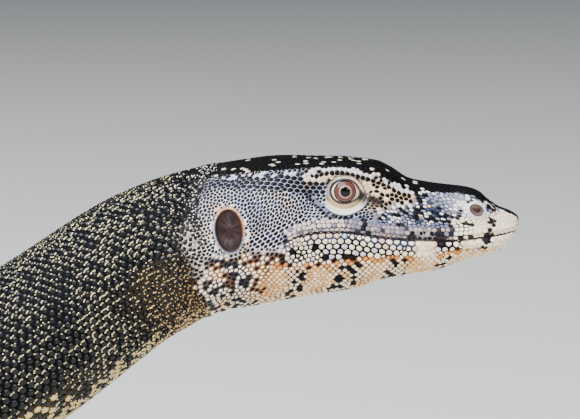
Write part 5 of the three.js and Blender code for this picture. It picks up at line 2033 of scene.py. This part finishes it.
def granule_tints(s, u, upright, chance, own):
    """Granules are yellow or pale where the net is, and then mostly above and below a bead, more
    round some beads than others by each bead's own chance."""
    black = np.tile(SCALE_BLACK, (len(s), 1))
    fold = fold_of(u)
    ragged = s + 4 * wander(s, fold * 7, 4)
    low_front = smooth_step(fold + 0.5 * wander(s, fold * 7, 5), 3.8, 5.4)
    low_front = low_front * (1 - smooth_step(ragged, 134, 166))
    pale = smooth_step(fold, 2.4, 3.4) * (1 - smooth_step(ragged, 117, 127))
    whole = np.maximum(0.55 * low_front, pale)
    patchy = 0.7 + 0.5 * wander(s, fold * 7, 6)
    alone = 0.04 + 1.3 * upright**4 * patchy * smooth_step(own, 0.1, 0.5)
    alone = alone * (0.45 + 0.55 * smooth_step(s, 114, 134))
    lit = chance < mix(alone, 0.42, whole)
    fade = 1 - 0.75 * smooth_step(s, 205, NECK_END)
    lit = lit & (chance_source.random(len(s)) < fade)
    bright = paint(np.tile(GRANULE_YELLOW, (len(s), 1)), colour(234, 186, 118), low_front * 0.8)
    bright = paint(bright, colour(236, 222, 210), 1 - smooth_step(ragged, 116, 128))
    return np.where(lit[:, None], bright, black), black


granule_finish = tinted_material("neck_granules", 2400, 0.00004, 0.35, 0.5, 0.03, 0.06)
dome_height = 0.24 + 0.13 * np.sqrt(body_long * body_broad)
is_neck = (body_s < NECK_END) & ~is_guest
is_tail = body_s > 640
is_left = body_u < BELLY_TURN
body_scales("neck_beads", is_neck, 9, BEAD, 0.1, dome_height, 0.66, 7.0)
granule_piece()
for name, half in (("left", is_left), ("right", ~is_left)):
    body_scales(f"trunk_scales_{name}", (body_s >= NECK_END) & ~is_tail & half, 6, SMALL, 0.1,
                0.9 * dome_height, 0.62, 9.0)
body_scales("tail_scales", is_tail, 6, SMALL, 0.08, 0.8 * dome_height, 0.64, 9.0)

# Scales of the limbs. Small oval scales in rings round each upper and lower limb, finer on the
# hands, the feet and the digits, and bounded by their neighbours where one form meets another.
QUARTERS = (0, 1.57, 3.14, 4.71)
LIMB_PITCH = {"upper": (2.5, 2.3), "lower": (2.3, 2.1), "sole": (1.9, 1.8), "digit": (1.75, 1.7)}


def limb_rings(form, part):
    """Seeds in even rings along a stretch and evenly round each ring, every other one shifted."""
    pitch_along, pitch_round = LIMB_PITCH[form]
    fine = np.linspace(0, 1, 241)
    lines = [bare_point(part, fine, np.full(len(fine), angle)) for angle in QUARTERS]
    steps = np.mean([np.linalg.norm(np.diff(line, axis=0), axis=1) for line in lines], axis=0)
    length = running(steps)
    rows = int(length[-1] / pitch_along)
    ring_places = np.interp((np.arange(rows) + 0.5) * length[-1] / rows, length, fine)
    turn = np.linspace(0, 2 * np.pi, 65)
    seeds = []
    for number, v in enumerate(ring_places):
        measure = line_lengths(bare_point(part, np.full(len(turn), v), turn))
        count = max(int(round(measure[-1] / pitch_round)), 1)
        place = (np.arange(count) + 0.5 * (number % 2)) * measure[-1] / count
        seeds.append((np.full(count, v), np.interp(place, measure, turn) % (2 * np.pi)))
    return joined(seeds)


def limb_places(part, v, angle):
    """Roots and directions on a stretch, as on the trunk."""
    depth = -part["depth"]
    root = limb_point(part, v, angle, depth)
    back = (limb_point(part, np.clip(v + 0.004, 0, 1), angle, depth)
            - limb_point(part, np.clip(v - 0.004, 0, 1), angle, depth))
    across = limb_point(part, v, angle + 0.02, depth) - limb_point(part, v, angle - 0.02, depth)
    normal = unit(np.cross(across, back), 1e-9)
    back = unit(back, 1e-9)
    return {"root": root, "normal": normal, "back": back, "across": np.cross(back, normal)}


def limb_coat(name, kind, limb):
    """All the scales of one limb as one piece."""
    columns = {key: [] for key in ("root", "normal", "back", "across", "long", "broad", "tint",
                                   "net", "unwrap")}
    parts = limb_parts(limb)
    for number, (form, part) in enumerate(parts):
        v, angle = limb_rings(form, part)
        bare = bare_point(part, v, angle)
        free = bare[:, 2] > 0.3
        for other in part["near"]:
            free &= stretch_distance(other, bare) > -0.25
        if part["torso"]:
            free[free] = torso_distance(bare[free]) > -0.5
        v, angle = v[free], angle[free]
        places = limb_places(part, v, angle)
        tint, net = limb_tints(part, v, angle, chance_source.random(len(v)))
        long, broad = (np.full(len(v), pitch) for pitch in LIMB_PITCH[form])
        unwrap = np.stack([(number + 0.04 + 0.92 * v) / len(parts),
                           in_unwrap(angle / (2 * np.pi))], axis=1)
        places.update(long=long, broad=broad, tint=tint, net=net, unwrap=unwrap)
        for key, column in columns.items():
            column.append(places[key])
    coat = {key: np.concatenate(column) for key, column in columns.items()}
    clear = coat["root"][:, 2] > 0.3
    coat = {key: column[clear] for key, column in coat.items()}
    coat["near"] = neighbours(coat["root"], 2.4 * coat["long"])
    reach = cell_reach(coat, coat["long"], coat["broad"], 0.62, 6, 9.0) - 0.08
    height = 0.2 + 0.17 * np.sqrt(coat["long"] * coat["broad"])
    gloss = np.full(len(height), 0.5)
    tint, net = (np.column_stack([coat[key], gloss]) for key in ("tint", "net"))
    arrays = dome_arrays(coat, np.maximum(reach, 0.2), height, SMALL, tint, net, coat["unwrap"])
    coat_piece(f"limb_scales_{kind['names'][2]}_{name}", [(*arrays, 6, 2)], scale_finish)


for name, _, kind, limb in limbs:
    limb_coat(name, kind, limb)

# Studio: a plain pale floor, one large soft light above, two weaker ones at the side and behind,
# and a long lens that looks at the head from a little above.
FLOOR_RADIUS = 14
FLOOR_SIDES = 96
lens_target = np.array([0.365, -0.017, 0.1386])
floor_mesh = bpy.data.meshes.new("floor")
floor_rim = [(FLOOR_RADIUS * np.cos(angle), FLOOR_RADIUS * np.sin(angle), 0)
             for angle in circle(FLOOR_SIDES)]
floor_mesh.from_pydata(floor_rim, [], [tuple(range(FLOOR_SIDES))])
floor = add_object("floor", floor_mesh)
floor_material, _, floor_shader = new_material("pale_floor")
set_inputs(floor_shader, Base_Color=(0.72, 0.71, 0.69, 1), Roughness=0.7)
floor_mesh.materials.append(floor_material)

world = bpy.data.worlds.new("studio")
bpy.context.scene.world = world
world.use_nodes = True
set_inputs(world.node_tree.nodes["Background"], Color=(0.84, 0.91, 1, 1), Strength=0.24)


def soft_light(name, place, size, energy, tint):
    """A square light that faces the head."""
    data = bpy.data.lights.new(name, "AREA")
    data.size = size
    data.energy = energy
    data.color = tint
    light = add_object(name, data)
    light.location = place
    aim = light.location - type(light.location)(lens_target)
    light.rotation_euler = aim.to_track_quat("Z", "Y").to_euler()


soft_light("sky_light", (-0.35, -1.25, 1.75), 2.0, 165, (0.92, 0.96, 1))
soft_light("side_light", (1.6, -1.8, 1.0), 1.0, 20, (1, 0.93, 0.84))
soft_light("rear_light", (-1.6, 1.2, 1.4), 1.2, 14, (1, 0.98, 0.95))

ELEVATION = np.radians(7)
LENS = 200
SENSOR = 36
VIEW_WIDTH = 0.2152
camera_data = bpy.data.cameras.new("camera")
camera_data.lens = LENS
camera_data.sensor_width = SENSOR
camera_data.clip_start = 0.01
camera = add_object("camera", camera_data)
distance = VIEW_WIDTH * LENS / SENSOR
camera.location = lens_target + distance * np.array([0, -np.cos(ELEVATION), np.sin(ELEVATION)])
camera.rotation_euler = (np.pi / 2 - ELEVATION, 0, 0)
bpy.context.scene.camera = camera


def corners(box):
    return [[float(x) for x in corner] for corner in box]
